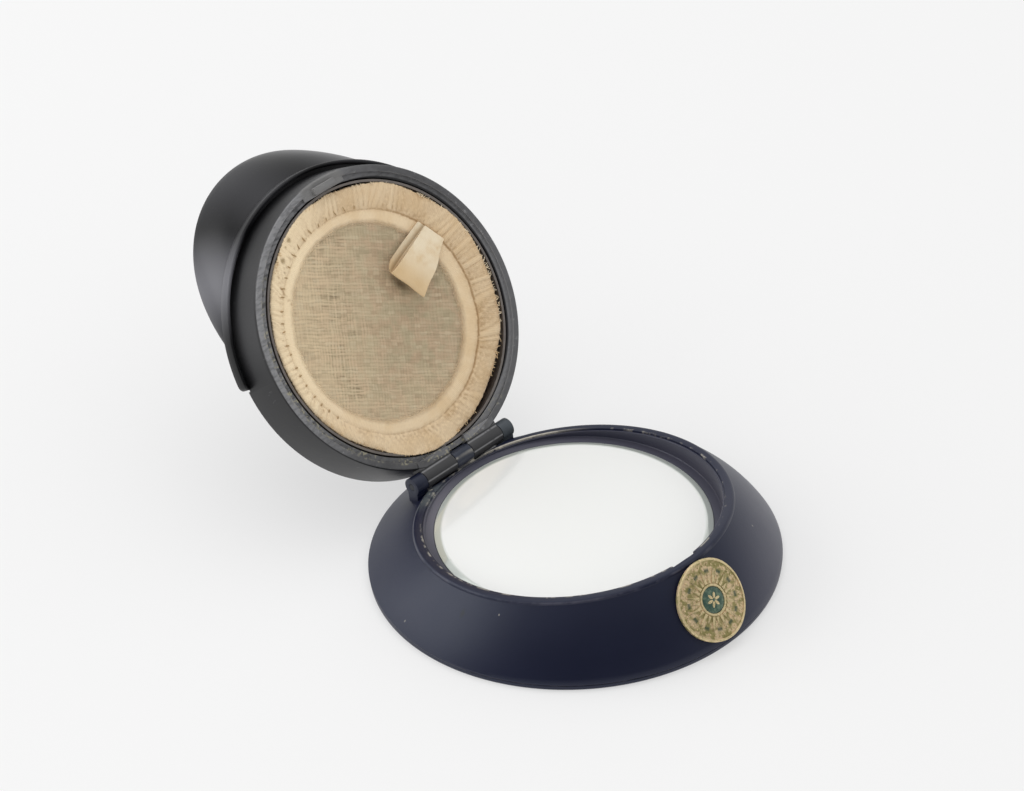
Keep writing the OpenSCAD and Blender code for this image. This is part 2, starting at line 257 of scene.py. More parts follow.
def cut(piece: Piece, *cutters: Piece) -> None:
    """Takes the space of each cutter out of a piece and deletes the cutters.

    Args:
        piece: The piece that is cut.
        *cutters: The pieces that it is cut with.
    """
    for cutter in cutters:
        apply_modifier(piece, "BOOLEAN", object=cutter, operation="DIFFERENCE", solver="EXACT")
        bpy.data.objects.remove(cutter)
        edit(piece, "SELECT")
        bpy.ops.mesh.remove_doubles(threshold=2e-6)
        bpy.ops.mesh.dissolve_degenerate(threshold=1e-6)
        clear()


class Ring(NamedTuple):
    """One ring of a turned wall: its radius, height, tilt towards +Y, and shift along Y."""

    radius: float
    height: float
    tilt: float = 0.0
    shift: float = 0.0


def turned(name: str, profile: Iterable[Sequence[float]], capped: bool,
           corners: int = 192) -> Piece:
    """Turns a closed form: a circle is drawn on from ring to ring.

    Args:
        name: The piece's name.
        profile: The values of each ring, in order. Where it isn't capped, the last ring
            meets the first.
        capped: Whether flat discs close the first and last rings.
        corners: Corners of each ring.

    Returns:
        The piece, in object mode.
    """
    rings = [Ring(*values) for values in profile]
    clear()
    first = rings[0]
    bpy.ops.mesh.primitive_circle_add(
        vertices=corners, radius=first.radius * MM, fill_type="TRIFAN" if capped else "NOTHING",
        location=(0, first.shift * MM, first.height * MM))
    piece = settle(named(name))
    edit(piece, "SELECT")
    for last, ring in pairwise(rings):
        step = (0, (ring.shift - last.shift) * MM, (ring.height - last.height) * MM)
        centre = (0, ring.shift * MM, ring.height * MM)
        bpy.ops.mesh.extrude_region_move(TRANSFORM_OT_translate={"value": step})
        if ring.radius != last.radius:
            bpy.ops.transform.resize(value=(ring.radius / last.radius,) * 3,
                                     center_override=centre)
        if ring.tilt != last.tilt:
            bpy.ops.transform.rotate(value=math.radians(ring.tilt - last.tilt),
                                     orient_axis="X", center_override=centre)
    if not capped:
        bpy.ops.mesh.select_all(action="SELECT")
        bpy.ops.mesh.remove_doubles(threshold=1e-6)
    close_up()
    return piece


def arc(radius: float, height: float, round_by: float, start: float, end: float,
        steps: int = 6) -> list[tuple[float, float]]:
    """Places of a rounding's rings: (radius, height) round a middle, between two angles."""
    turns = [math.radians(start + (end - start) * i / steps) for i in range(steps + 1)]
    return [(radius + round_by * math.cos(a), height + round_by * math.sin(a)) for a in turns]


def bar(name: str, radius: float, x0: float, x1: float, place: Matrix | None = None,
        corners: int = 48) -> Piece:
    """A round bar along X between two places, set in a frame.

    Args:
        name: The piece's name.
        radius: Its radius.
        x0: Its low end.
        x1: Its high end.
        place: The frame, or None for the object's own.
        corners: Corners of its round.

    Returns:
        The bar.
    """
    clear()
    bpy.ops.mesh.primitive_cylinder_add(
        vertices=corners, radius=radius * MM, depth=(x1 - x0) * MM,
        location=((x0 + x1) / 2 * MM, 0, 0), rotation=(0, math.pi / 2, 0))
    return settle(named(name), place)


def block(name: str, low: Sequence[float], high: Sequence[float],
          place: Matrix | None = None) -> Piece:
    """A block between two corners, set in a frame.

    Args:
        name: The piece's name.
        low: Its low corner.
        high: Its high corner.
        place: The frame, or None for the object's own.

    Returns:
        The block.
    """
    clear()
    bpy.ops.mesh.primitive_cube_add(
        size=1, location=[(a + b) / 2 * MM for a, b in zip(low, high)],
        scale=[(b - a) * MM for a, b in zip(low, high)])
    return settle(named(name), place)


def ball(name: str, radius: float, spot: Sequence[float], stretch: Sequence[float],
         segments: int = 12, rings: int = 8) -> Piece:
    """A ball at a spot, stretched about its middle.

    Args:
        name: The piece's name.
        radius: Its radius.
        spot: Its middle.
        stretch: How much it is stretched along each axis.
        segments: Faces round its equator.
        rings: Faces from pole to pole.

    Returns:
        The ball.
    """
    clear()
    centre = [length * MM for length in spot]
    bpy.ops.mesh.primitive_uv_sphere_add(segments=segments, ring_count=rings,
                                         radius=radius * MM, location=centre)
    piece = settle(named(name))
    edit(piece, "SELECT")
    bpy.ops.transform.resize(value=stretch, center_override=centre)
    clear()
    return piece


def copied(piece: Piece, name: str, place: Matrix) -> Piece:
    """Copies a piece with its own mesh and moves the copy's mesh to another place.

    Args:
        piece: The piece to copy.
        name: The copy's name.
        place: The move.

    Returns:
        The copy.
    """
    pick(piece)
    bpy.ops.object.duplicate()
    return settle(named(name), place)


def spread(piece: Piece, places: Iterable[Matrix]) -> list[Piece]:
    """Copies a piece to each place and deletes the piece itself.

    Args:
        piece: The piece to copy.
        places: The moves.

    Returns:
        The copies.
    """
    pieces = [copied(piece, piece.name, place) for place in places]
    bpy.data.objects.remove(piece)
    return pieces


def spun(turn: float, axis: str = "Z") -> Matrix:
    """A turn about an axis, in radians."""
    return Matrix.Rotation(turn, 4, axis)


def moved(x: float, y: float, z: float) -> Matrix:
    """A move, in millimetres."""
    return Matrix.Translation((x * MM, y * MM, z * MM))


def around(count: int, offset: float = 0.0) -> list[Matrix]:
    """Evenly spaced turns about Z, moved on by an offset in steps."""
    return [spun(math.tau * (i + offset) / count) for i in range(count)]


def joined(name: str, pieces: Sequence[Piece]) -> Piece:
    """Joins several pieces into the first one and names it.

    Args:
        name: The name it gets.
        pieces: The pieces.

    Returns:
        The joined piece.
    """
    clear()
    for piece in pieces:
        piece.select_set(True)
    bpy.context.view_layer.objects.active = pieces[0]
    bpy.ops.object.join()
    return named(name)


def reshaped(piece: Piece, move: Callable[[Vector], Vector]) -> Piece:
    """Moves every point of a piece by a rule on its place in millimetres.

    Args:
        piece: The piece.
        move: Gives a point's new place from its old one.

    Returns:
        The same piece.
    """
    for point in piece.data.vertices:
        point.co = move(point.co / MM) * MM
    piece.data.update()
    return piece


def grid(name: str, columns: int, rows: int) -> Piece:
    """A grid whose points run from 0 to 1 along X and Y, in units of a millimetre.

    Args:
        name: The piece's name.
        columns: Faces along X.
        rows: Faces along Y.

    Returns:
        The grid.
    """
    clear()
    bpy.ops.mesh.primitive_grid_add(x_subdivisions=columns, y_subdivisions=rows, size=MM,
                                    location=(MM / 2, MM / 2, 0))
    return settle(named(name))


def share(value: float) -> float:
    """Keeps a value from 0 to 1."""
    return min(1.0, max(0.0, value))


def ridge(distance: float, half: float) -> float:
    """Is 1 at no distance and falls straight to 0 at a half width."""
    return max(0.0, 1 - abs(distance) / half)


def facing(turn: float, other: float) -> float:
    """Cosine of the angle between two directions, or 0 where they face apart."""
    return max(0.0, math.cos(turn - other))


def quarter_round(value: float) -> float:
    """Height of a quarter circle over a value that runs from 0 to 1."""
    return math.sqrt(max(0.0, 1 - (1 - value) ** 2))


def dressed(piece: Piece, finish: Material, body: Body, slot: Slot, *nodes: str) -> Piece:
    """Gives a finished piece its material and body, and hides the CAD nodes it stands for.

    Args:
        piece: The finished piece.
        finish: Its material.
        body: The body that it moves with.
        slot: The record's slot of its material; not used.
        *nodes: CAD nodes that it replaces.

    Returns:
        The same piece.
    """
    piece.data.materials.clear()
    piece.data.materials.append(finish)
    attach(piece, body.value)
    if nodes:
        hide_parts(*nodes)
    LOG.info("made %s: %d faces", piece.name, len(piece.data.polygons))
    return piece


# Shader maths


def ink(colour: Colour, times: float = 1.0, plus: float = 0.0) -> tuple[float, ...]:
    """Turns a colour as a screen shows it into the linear colour that nodes take.

    Args:
        colour: Red, green and blue, 0 to 255.
        times: Each channel is first made this many times as strong.
        plus: Each channel is then raised by this.

    Returns:
        Red, green, blue and 1.
    """
    def line(value: float) -> float:
        """Straightens one channel."""
        part = min(255, value * times + plus) / 255
        return part / 12.92 if part <= 0.04045 else ((part + 0.055) / 1.055) ** 2.4
    return (*(line(channel) for channel in colour), 1.0)


def operator(operation: str, flipped: bool = False) -> Callable[["Wire", Any], "Wire"]:
    """Makes the method of Wire that adds one Math node on a wire and another value.

    Args:
        operation: The node's operation.
        flipped: Whether the other value comes first.

    Returns:
        The method.
    """
    def act(wire: "Wire", other: Any) -> "Wire":
        """Adds the node."""
        return wire.maths(operation, *((other, wire) if flipped else (wire, other)))
    return act


class Wire:
    """A node's output that arithmetic works on: each operation adds a Math node."""

    def __init__(self, tree: "Tree", socket: bpy.types.NodeSocket) -> None:
        """Holds a socket and the tree that its node belongs to."""
        self.tree = tree
        self.socket = socket

    def maths(self, operation: str, *values: Any) -> "Wire":
        """Adds one Math node on some values."""
        return self.tree.node("ShaderNodeMath", {"operation": operation},
                              dict(enumerate(values)))

    __add__ = __radd__ = operator("ADD")
    __sub__ = operator("SUBTRACT")
    __rsub__ = operator("SUBTRACT", flipped=True)
    __mul__ = __rmul__ = operator("MULTIPLY")
    __truediv__ = operator("DIVIDE")
    __pow__ = operator("POWER")
    at_least = operator("MAXIMUM")

    def sine(self) -> "Wire":
        """The sine of this."""
        return self.maths("SINE", self)

    def size(self) -> "Wire":
        """This without its sign."""
        return self.maths("ABSOLUTE", self)

    def rise(self, low: float, high: float, start: float = 0.0, end: float = 1.0) -> "Wire":
        """Goes softly from start to end as this goes from low to high."""
        return self.tree.node(
            "ShaderNodeMapRange", {"interpolation_type": "SMOOTHSTEP"},
            {"Value": self, "From Min": low, "From Max": high, "To Min": start, "To Max": end})

    def fall(self, low: float, high: float) -> "Wire":
        """Goes softly from 1 to 0 as this goes from low to high."""
        return self.rise(low, high, 1.0, 0.0)

    def hump(self, middle: float, half: float) -> "Wire":
        """Is 1 at a middle and falls softly to 0 at a distance from it."""
        return (self - middle).size().fall(0.0, half)

    def beside(self, key: Any) -> "Wire":
        """Another output of the same node, by index, name or identifier."""
        return Wire(self.tree, self.tree.find(self.socket.node.outputs, key))


class Tree:
    """A tree of shader nodes, which starts empty."""

    def __init__(self, tree: bpy.types.NodeTree) -> None:
        """Empties the tree."""
        self.tree = tree
        tree.nodes.clear()

    def node(self, kind: str, settings: Mapping[str, Any] | None = None,
             inputs: Mapping[Any, Any] | None = None, output: Any = 0) -> Wire:
        """Adds one node.

        Args:
            kind: The node's type.
            settings: Its own settings, which are set first.
            inputs: Values or wires for its inputs, by index, name or identifier.
            output: Which output to return, by index, name or identifier.

        Returns:
            The wire from that output.
        """
        made = self.tree.nodes.new(kind)
        for name, value in (settings or {}).items():
            setattr(made, name, value)
        for key, value in (inputs or {}).items():
            self.feed(self.find(made.inputs, key), value)
        return Wire(self, self.find(made.outputs, output))

    @staticmethod
    def find(sockets: Any, key: Any) -> bpy.types.NodeSocket:
        """Finds a socket by index, identifier or name.

        Args:
            sockets: The node's inputs or outputs.
            key: The index, identifier or name.

        Returns:
            The socket.
        """
        if isinstance(key, int):
            return sockets[key]
        return next(s for s in sockets if key in (s.identifier, s.name) and s.enabled)

    def feed(self, socket: bpy.types.NodeSocket, value: Any) -> None:
        """Links a wire to a socket, or sets the socket to a value.

        Args:
            socket: The socket.
            value: The wire or the value.
        """
        if isinstance(value, Wire):
            self.tree.links.new(value.socket, socket)
        else:
            socket.default_value = value

    def end(self, kind: str, surface: Wire) -> None:
        """Adds the output node of the tree and links its surface."""
        self.feed(self.tree.nodes.new(kind).inputs["Surface"], surface)

    def mix(self, factor: Wire, first: Wire, second: Wire) -> Wire:
        """Mixes two shaders."""
        return self.node("ShaderNodeMixShader", None, {0: factor, 1: first, 2: second})


class Recipe(Tree):
    """The nodes of one finish: a Principled shader, what feeds it, and its colour so far."""

    def __init__(self, name: str) -> None:
        """Starts a material with an empty Principled shader.

        Args:
            name: The material's name.
        """
        self.material = bpy.data.materials.new(name)
        self.material.use_nodes = True
        super().__init__(self.material.node_tree)
        self.shader = self.node("ShaderNodeBsdfPrincipled")
        self.colour: Wire | None = None

    def set(self, **values: Any) -> None:
        """Feeds the shader's sockets, named with _ for each space."""
        for name, value in values.items():
            self.feed(self.shader.socket.node.inputs[name.replace("_", " ")], value)

    def finish(self, height: Wire, depth: float, **values: Any) -> Material:
        """Feeds the shader its colour and other values, and links it to the output.

        Args:
            height: A height from 0 to 1 that is pressed into the surface.
            depth: How deep it is pressed, in millimetres.
            **values: The shader's other values, by name.

        Returns:
            The material.
        """
        normal = self.node("ShaderNodeBump", None,
                           {"Strength": 1.0, "Distance": depth * MM, "Height": height}, "Normal")
        self.set(Base_Color=self.colour, Normal=normal, **values)
        self.end("ShaderNodeOutputMaterial", self.shader)
        return self.material

    def start(self, factor: Any, first: tuple[float, ...], second: tuple[float, ...]) -> None:
        """Starts the colour as a mix of two."""
        self.colour = self.blend(factor, first, second)

    def paint(self, mask: Any, colour: Colour) -> None:
        """Lays another colour over the colour so far, as strongly as a mask says."""
        self.colour = self.blend(mask, self.colour, ink(colour))

    def blend(self, factor: Any, first: Any, second: Any) -> Wire:
        """Mixes two colours."""
        return self.node("ShaderNodeMix", {"data_type": "RGBA"},
                         {"Factor_Float": factor, "A_Color": first, "B_Color": second},
                         "Result_Color")

    def spot(self, place: Matrix | None = None) -> Wire:
        """The point on the piece in millimetres, in the object's frame or another one.

        Args:
            place: The frame, or None for the object's own.

        Returns:
            The point.
        """
        point = self.node("ShaderNodeTexCoord", output="Object")
        if place is not None:
            point = self.node(
                "ShaderNodeMapping", {"vector_type": "TEXTURE"},
                {"Vector": point, "Location": place.to_translation(),
                 "Rotation": place.to_euler()})
        return self.node("ShaderNodeVectorMath", {"operation": "SCALE"},
                         {0: point, "Scale": 1 / MM})

    def attribute(self, name: str) -> Wire:
        """A number that each point of the piece carries."""
        return self.node("ShaderNodeAttribute", {"attribute_name": name}, output="Fac")

    def parts(self, vector: Wire) -> tuple[Wire, Wire, Wire]:
        """Splits a vector into its three parts."""
        x = self.node("ShaderNodeSeparateXYZ", None, {0: vector})
        return x, x.beside(1), x.beside(2)

    def join(self, x: Any, y: Any) -> Wire:
        """Makes a vector of two numbers."""
        return self.node("ShaderNodeCombineXYZ", None, {0: x, 1: y})

    def reach(self, x: Wire, y: Wire) -> Wire:
        """Distance from the Z axis."""
        return (x * x + y * y) ** 0.5

    def angle(self, x: Wire, y: Wire) -> Wire:
        """Angle round the Z axis from +X, in radians."""
        return x.maths("ARCTAN2", y, x)

    def cloud(self, at: Wire, pitch: float, detail: float = 2.0, seed: float = 0.0,
              stretch: Sequence[float] = (1, 1, 1)) -> Wire:
        """Soft random patches from 0 to 1 that are about one pitch across.

        Args:
            at: The point, in millimetres.
            pitch: Size of the patches.
            detail: How many finer layers they have.
            seed: Moves the pattern to another place.
            stretch: How many times longer the patches are along each axis.

        Returns:
            The patches' value, near 0.5 on average.
        """
        place = self.node(
            "ShaderNodeMapping", None,
            {"Vector": at, "Location": (seed, seed * 0.7, seed * 1.3),
             "Scale": tuple(1 / (pitch * s) for s in stretch)})
        return self.node("ShaderNodeTexNoise", None,
                         {"Vector": place, "Scale": 1.0, "Detail": detail, "Roughness": 0.55})

    def specks(self, at: Wire, pitch: float, radius: float, portion: float) -> Wire:
        """Small round specks: 1 in a speck and 0 elsewhere.

        Args:
            at: The point, in millimetres.
            pitch: Distance between places where a speck may be.
            radius: A speck's radius, as a share of the pitch.
            portion: How many of those places have one, from 0 to 1.

        Returns:
            The specks' mask.
        """
        away = self.node("ShaderNodeTexVoronoi", None, {"Vector": at, "Scale": 1 / pitch},
                         "Distance")
        chance = self.node("ShaderNodeSeparateColor", None, {0: away.beside("Color")})
        return away.fall(radius * 0.6, radius) * chance.rise(1 - portion, 1 - portion + 0.01)


# Finishes


@dataclass(frozen=True)
class NavyPlastic:
    """Satin navy plastic of the crown, with dust in its seam, wear and a painted highlight round
    its neck, and a painted sheen on its right flank.
    """

    base: Colour = (8, 13, 41)
    worn: Colour = (120, 118, 128)
    dust: Colour = (196, 190, 176)
    slate: Colour = (88, 94, 95)
    scuff: Colour = (12, 12, 18)
    nicks: Sequence[Sequence[float]] = (
        (-29.6, -10.1, 0.14), (-23.1, -15.9, 0.2), (-35.9, 8.0, 0.16), (19.7, -26.2, 0.16))
    smudge: Sequence[float] = (-32.15, -3.35)
    seam_height: float = 1.0
    neck: float = 29.6
    step: float = 27.8
    bore: float = 27.3

    def make(self) -> Material:
        """Builds the material.

        Returns:
            The material.
        """
        r = Recipe("navy_satin")
        at = r.spot()
        left, front, height = r.parts(at)
        x, y, depth = r.parts(r.spot(RIM_FRAME))
        out, turn = r.reach(x, y), r.angle(x, y)
        patch, grain = r.cloud(at, 9, 3), r.cloud(at, 0.5, 3, 4)
        r.start(patch, ink(self.base), ink(self.base, 1.1, 1))
        inside = out.fall(self.bore, self.bore + 0.5)
        r.paint(inside * (turn.hump(2.15, 0.7) * 0.4 + 0.34), self.worn)
        top = depth.rise(-0.75, -0.35)
        # Wear on the neck's outer rounding, kept to the left and front, where it also paints in
        # the highlight line along that edge
        edge = out.hump(self.neck - 0.12, 0.26) * top * (x * -0.75 - y * 0.4).rise(-8.0, 14.0)
        r.paint(edge * r.cloud(at, 3.5, 4, 9).rise(0.35, 0.7) * 0.3, self.worn)
        lip = out.hump(self.step + 0.15, 0.34) * top
        streak = r.cloud(at, 2.2, 5, 21).rise(0.5, 0.64)
        rear = turn.hump(1.18, 0.6) * r.cloud(at, 1.6, 4, 5).rise(0.26, 0.46)
        r.paint(lip * (streak * (turn.hump(0.75, 0.5) * -0.4 + 0.6) + rear), self.dust)
        along, over, up = r.parts(r.spot(RIM_HINGE_FRAME))
        knuckle = r.reach(over, up).fall(1.95, 2.5)
        ears = along.rise(8.0, 9.8) * 0.42 + along.rise(-8.0, -4.0) * 0.14
        r.paint(knuckle * (ears + 0.06), self.slate)
        haze = r.reach(along + 12.5, over).fall(3.0, 8.0) * (1 - knuckle) * top
        r.paint(haze * r.cloud(at, 1.4, 4, 52).rise(0.25, 0.55) * 0.8, self.slate)
        glue = r.reach(along + 11, over).fall(2.0, 6.0) * (1 - knuckle) * top
        r.paint(glue * r.cloud(at, 1.1, 5, 44).rise(0.54, 0.64) * 0.5, self.dust)
        # Painted sheen: the right flank is greyed towards the worn colour, standing in for light
        # reflected there
        right_sheen = (x * 0.72 - y * 0.69).rise(24.0, 38.0) * (1 - inside)
        r.paint(right_sheen * 0.3, self.worn)
        for nick_x, nick_y, wide in self.nicks:
            near = r.reach(left - nick_x, front - nick_y) + grain * 0.1
            r.paint(near.rise(wide * 0.6, wide + 0.1, 0.42, 0.0), self.dust)
        near = r.reach((left - self.smudge[0]) * 0.7, front - self.smudge[1]) + grain * 0.5
        r.paint(near.rise(0.35, 0.9, 0.9, 0.0), self.scuff)
        seam = height.hump(self.seam_height, 0.16) * r.cloud(at, 4, 3, 3).rise(0.3, 0.7)
        r.paint(seam * 0.4, self.worn)
        r.paint(r.specks(at, 4.5, 0.06, 0.14) * 0.7, self.dust)
        return r.finish(grain + r.cloud(at, 6, 1, 2) * 2, 0.012,
                        Roughness=patch * 0.1 + 0.35 + grain * 0.05,
                        Specular_IOR_Level=0.49, Specular_Tint=(0.86, 0.92, 1.0, 1.0))


@dataclass(frozen=True)
class BlackPlastic:
    """Satin black plastic of the band, greyed on its rim and dirty on its inner ledge, with
    painted highlights and painted shade on its rim, ledge, knuckles and outer side.
    """

    base: Colour = (24, 24, 26)
    worn: Colour = (112, 112, 114)
    lit: Colour = (152, 152, 154)
    dirt: Colour = (172, 166, 138)
    bare: Colour = (122, 121, 119)
    line: Colour = (9, 9, 11)
    rim: float = 0.77
    back: float = -7.88
    mouth: float = 27.4
    rim_edge: float = 28.66

    def make(self) -> Material:
        """Builds the material.

        Returns:
            The material.
        """
        r = Recipe("black_satin")
        at = r.spot(LID_FRAME)
        x, y, depth = r.parts(at)
        out, turn = r.reach(x, y), r.angle(x, y)
        patch, grain = r.cloud(at, 8, 3, 1), r.cloud(at, 0.5, 3, 5)
        r.start(patch, ink(self.base), ink(self.base, 1.15, 1))

        # The rim's face: worn grey, with a painted highlight on its left
        clear_of_hinge = y.rise(-27.6, -27.2)
        face = depth.rise(self.rim - 0.3, self.rim - 0.05) * clear_of_hinge
        mottle = r.cloud(at, 1.8, 4, 12).rise(0.3, 0.75)
        r.paint(face * (mottle * 0.2 + 0.42), self.worn)
        left = (y * 0.54 - x * 0.84).rise(0, 26)
        scratched = r.cloud(at, 0.5, 5, 37, (3, 1, 1)).rise(0.35, 0.6)
        r.paint(face * left * (scratched * 0.4 + 0.4), self.lit)

        # The ledge inside the mouth: worn grey, narrowed on the right by painted shade and with a
        # painted highlight on its left, and the grime on it
        right = (x * 0.95 + y * 0.2).rise(7.0, 18.0)
        ledge = ((out - right * 0.4).rise(self.mouth - 1.3, self.mouth - 1.0)
                 * (1 - out.rise(self.mouth - 0.05, self.mouth + 0.05))
                 * depth.rise(-0.5, 0.0) * clear_of_hinge)
        r.paint(ledge * (scratched * 0.25 + 0.45), self.worn)
        r.paint(ledge * left * scratched * 0.4, self.lit)
        r.paint(r.cloud(at, 1.2, 3, 71).rise(0.62, 0.72) * (face + ledge) * 0.5, self.lit)
        # Painted light on the lower right of the face and ledge, and a painted highlight on the
        # mouth's step edge on the right
        low_right = (x * 0.8 - y * 0.6).rise(8.0, 25.0) * clear_of_hinge
        r.paint(low_right * (face * 0.14 + ledge * 0.4), self.lit)
        step = out.hump(self.mouth, 0.13) * depth.rise(0.0, 0.3) * right
        r.paint(step * (low_right * 0.25 + 0.3), self.lit)
        grime = (r.cloud(at, 0.6, 5, 31).rise(0.52, 0.64)
                 * r.cloud(at, 5, 2, 14).rise(0.3, 0.55)
                 * (y * -0.6 - x * 0.8).rise(-4.0, 20.0, 0.04, 1.0))
        lip = out.hump(self.mouth + 0.15, 0.35) * face
        r.paint(grime * (lip * 0.9 + ledge * 0.75), self.dirt)
        outline = out.hump(self.rim_edge, 0.16) * depth.rise(0.1, 0.3) * clear_of_hinge
        r.paint(outline * (y * -0.9 - x * 0.4).rise(0.0, 16.0), self.line)

        # The knuckles and the catch's land
        across, over, up = r.parts(r.spot(LID_HINGE_FRAME))
        knuckle = r.reach(over, up).fall(1.8, 2.1) * across.size().fall(9.8, 9.9)
        r.paint(knuckle * 0.2, self.worn)
        # Painted highlight lines along the knuckles' crests, broken up by a cloud
        crest_highlights = (over.hump(-0.5, 0.24) * up.rise(1.0, 1.3)
                  + over.hump(1.5, 0.3) * up.rise(0.5, 0.8))
        r.paint(knuckle * crest_highlights * r.cloud(at, 1.5, 4, 27).rise(0.25, 0.5) * 0.75, self.lit)
        land = y.rise(26.0, 26.4) * x.size().fall(4.2, 6.0) * depth.rise(0.2, 0.5)
        r.paint(land * (r.cloud(at, 2, 3, 8).rise(0.2, 0.6) * 0.3 + 0.4), self.bare)

        # The outer side: painted light on its left and painted shade above that towards the top,
        # then worn streaks and specks
        side = depth.fall(-0.2, 0.3) * depth.rise(self.back + 0.03, self.back + 0.38)
        r.paint(side * turn.hump(2.78, 0.42) * 0.16, self.worn)
        r.paint(side * turn.hump(1.95, 0.5) * 0.8, self.line)
        r.paint(r.cloud(at, 0.8, 4, 17, (1, 1, 4)).rise(0.68, 0.76) * 0.25, self.worn)
        r.paint(r.specks(at, 3.6, 0.07, 0.12) * 0.6, self.worn)
        return r.finish(grain + r.cloud(at, 5, 1, 2) * 2 + face * grime, 0.012,
                        Roughness=patch * 0.12 + 0.34 + face * 0.12, Specular_IOR_Level=0.42)


@dataclass(frozen=True)
class VisorPlastic:
    """Smoother black plastic of the visor, with fine rubbing marks and painted highlights."""

    base: Colour = (11, 11, 13)
    sheen_grey: Colour = (104, 104, 109)
    worn: Colour = (92, 92, 96)

    def make(self) -> Material:
        """Builds the material.

        Returns:
            The material.
        """
        r = Recipe("visor_black")
        at = r.spot(LID_FRAME)
        x, y, _ = r.parts(at)
        turn = r.angle(x, y)
        patch = r.cloud(at, 10, 3, 6)
        rub = r.cloud(at, 0.35, 4, 7, (1, 12, 1)).rise(0.6, 0.8)
        r.start(patch, ink(self.base), ink(self.base, 1.2))
        # Painted highlights: broad grey bands on the visor's left, middle and right, where light
        # glances off it
        left, middle, right = turn.hump(2.44, 0.38), turn.hump(1.76, 0.36), turn.hump(1.05, 0.4)
        r.paint(left + middle * 0.2 + right * 0.26, self.sheen_grey)
        r.paint(rub * patch * 0.3, self.worn)
        return r.finish(r.cloud(at, 0.6, 3, 3) + rub, 0.008,
                        Roughness=patch * 0.1 + 0.26, Specular_IOR_Level=0.25)


@dataclass(frozen=True)
class SilveredGlass:
    """The mirror: a near-white colour and a faint glow that paint in the reflection of the pale
    room, greyer where the glass is bevelled.
    """

    silver: Colour = (241, 242, 240)
    bevel: Colour = (206, 212, 206)
    edge: Colour = (70, 84, 78)
    bevel_in: float = 24.45

    def make(self) -> Material:
        """Builds the material.

        Returns:
            The material.
        """
        r = Recipe("silvered_glass")
        at = r.spot()
        x, y, height = r.parts(at)
        out = r.reach(x, y)
        fade = out.rise(self.bevel_in - 0.5, self.bevel_in + 0.15)
        foxing = r.cloud(at, 1.2, 5, 14).rise(0.6, 0.75) * out.rise(23.4, 25.4)
        r.start(fade, ink(self.silver), ink(self.bevel))
        r.paint(foxing * 0.35, self.edge)
        r.paint(height.fall(7.7, 7.95), self.edge)
        haze = r.cloud(at, 14, 3, 2)
        # The faint glow and the near-white colour are painted reflection and painted light,
        # standing in for the pale room seen in the mirror
        return r.finish(haze, 0.004, Metallic=fade * 0.28 + 0.06, Roughness=haze * 0.05 + 0.05,
                        Coat_Weight=0.6, Coat_Roughness=0.02, Emission_Color=r.colour,
                        Emission_Strength=0.05)


@dataclass(frozen=True)
class BadgeBrass:
    """Tarnished brass: gold on what stands up, olive and rose in the hollows."""

    gold: Colour = (232, 212, 166)
    olive: Colour = (152, 143, 90)
    rose: Colour = (226, 200, 162)
    green: Colour = (66, 86, 70)
    curve: float = 40.3
    leaves: int = 12

    def make(self) -> Material:
        """Builds the material.

        Returns:
            The material.
        """
        r = Recipe("badge_brass")
        at = r.spot(BADGE_FRAME)
        x, y, height = r.parts(at)
        out = r.reach(x, y)
        raised = (height + x * x / (2 * self.curve)).rise(1.12, 1.32)
        patch = r.cloud(at, 1.1, 5, 5)
        r.start(patch.rise(0.4, 0.58), ink(self.olive), ink(self.rose))
        r.paint(raised * 0.85 + 0.05, self.gold)
        tarnish = r.cloud(at, 0.45, 4, 8).rise(0.5, 0.62)
        r.paint(tarnish * 0.55, self.olive)
        leaf = (r.angle(x, y) * self.leaves - math.pi / 2).sine().rise(0.3, 0.55)
        r.paint(leaf * out.hump(5.35, 0.62) * (1 - raised) * 0.85, self.green)
        r.colour = r.blend(out.hump(7.45, 0.25) * 0.2, r.colour, ink(self.gold, 1.1))
        return r.finish(r.cloud(at, 0.22, 3, 2) + tarnish, 0.035,
                        Metallic=0.62 - tarnish * 0.3,
                        Roughness=0.36 + patch * 0.16 - raised * 0.06)


@dataclass(frozen=True)
class GreenEnamel:
    """Dark green enamel with a little crackle."""

    base: Colour = (54, 80, 70)
    light: Colour = (98, 118, 98)

    def make(self) -> Material:
        """Builds the material.

        Returns:
            The material.
        """
        r = Recipe("green_enamel")
        patch = r.cloud(r.spot(BADGE_FRAME), 1.1, 4, 3)
        r.start(patch.rise(0.4, 0.7), ink(self.base), ink(self.light))
        return r.finish(patch, 0.02, Roughness=patch * 0.2 + 0.16)


@dataclass(frozen=True)
class DullMetal:
    """A plain grey metal with brushed variation, for the pin and the pan."""

    name: str
    base: Colour
    roughness: float

    def make(self) -> Material:
        """Builds the material.

        Returns:
            The material.
        """
        r = Recipe(self.name)
        at = r.spot()
        patch = r.cloud(at, 1.5, 4, 2)
        r.start(patch, ink(self.base, 0.72), ink(self.base))
        return r.finish(r.cloud(at, 0.2, 2, 5, (6, 1, 1)), 0.006, Metallic=0.85,
                        Roughness=patch * 0.15 + self.roughness)


@dataclass(frozen=True)
class MattMatter:
    """A matt stuff with grains, such as card or pressed powder."""

    name: str
    base: Colour
    dark: Colour
    pitch: float

    def make(self) -> Material:
        """Builds the material.

        Returns:
            The material.
        """
        r = Recipe(self.name)
        grain = r.cloud(r.spot(), self.pitch, 5, 1)
        r.start(grain.rise(0.3, 0.7), ink(self.dark), ink(self.base))
        return r.finish(grain, 0.06, Roughness=0.9 - grain * 0.1, Specular_IOR_Level=0.25)


@dataclass(frozen=True)
class Velour:
    """The puff's soft nap."""

    base: Colour = (206, 176, 136)

    def make(self) -> Material:
        """Builds the material.

        Returns:
            The material.
        """
        r = Recipe("puff_velour")
        nap = r.cloud(r.spot(LID_FRAME), 0.3, 4, 1)
        r.start(nap, ink(self.base, 0.8), ink(self.base))
        return r.finish(nap, 0.1, Roughness=0.95, Specular_IOR_Level=0.2, Sheen_Weight=0.4,
                        Sheen_Roughness=0.5)


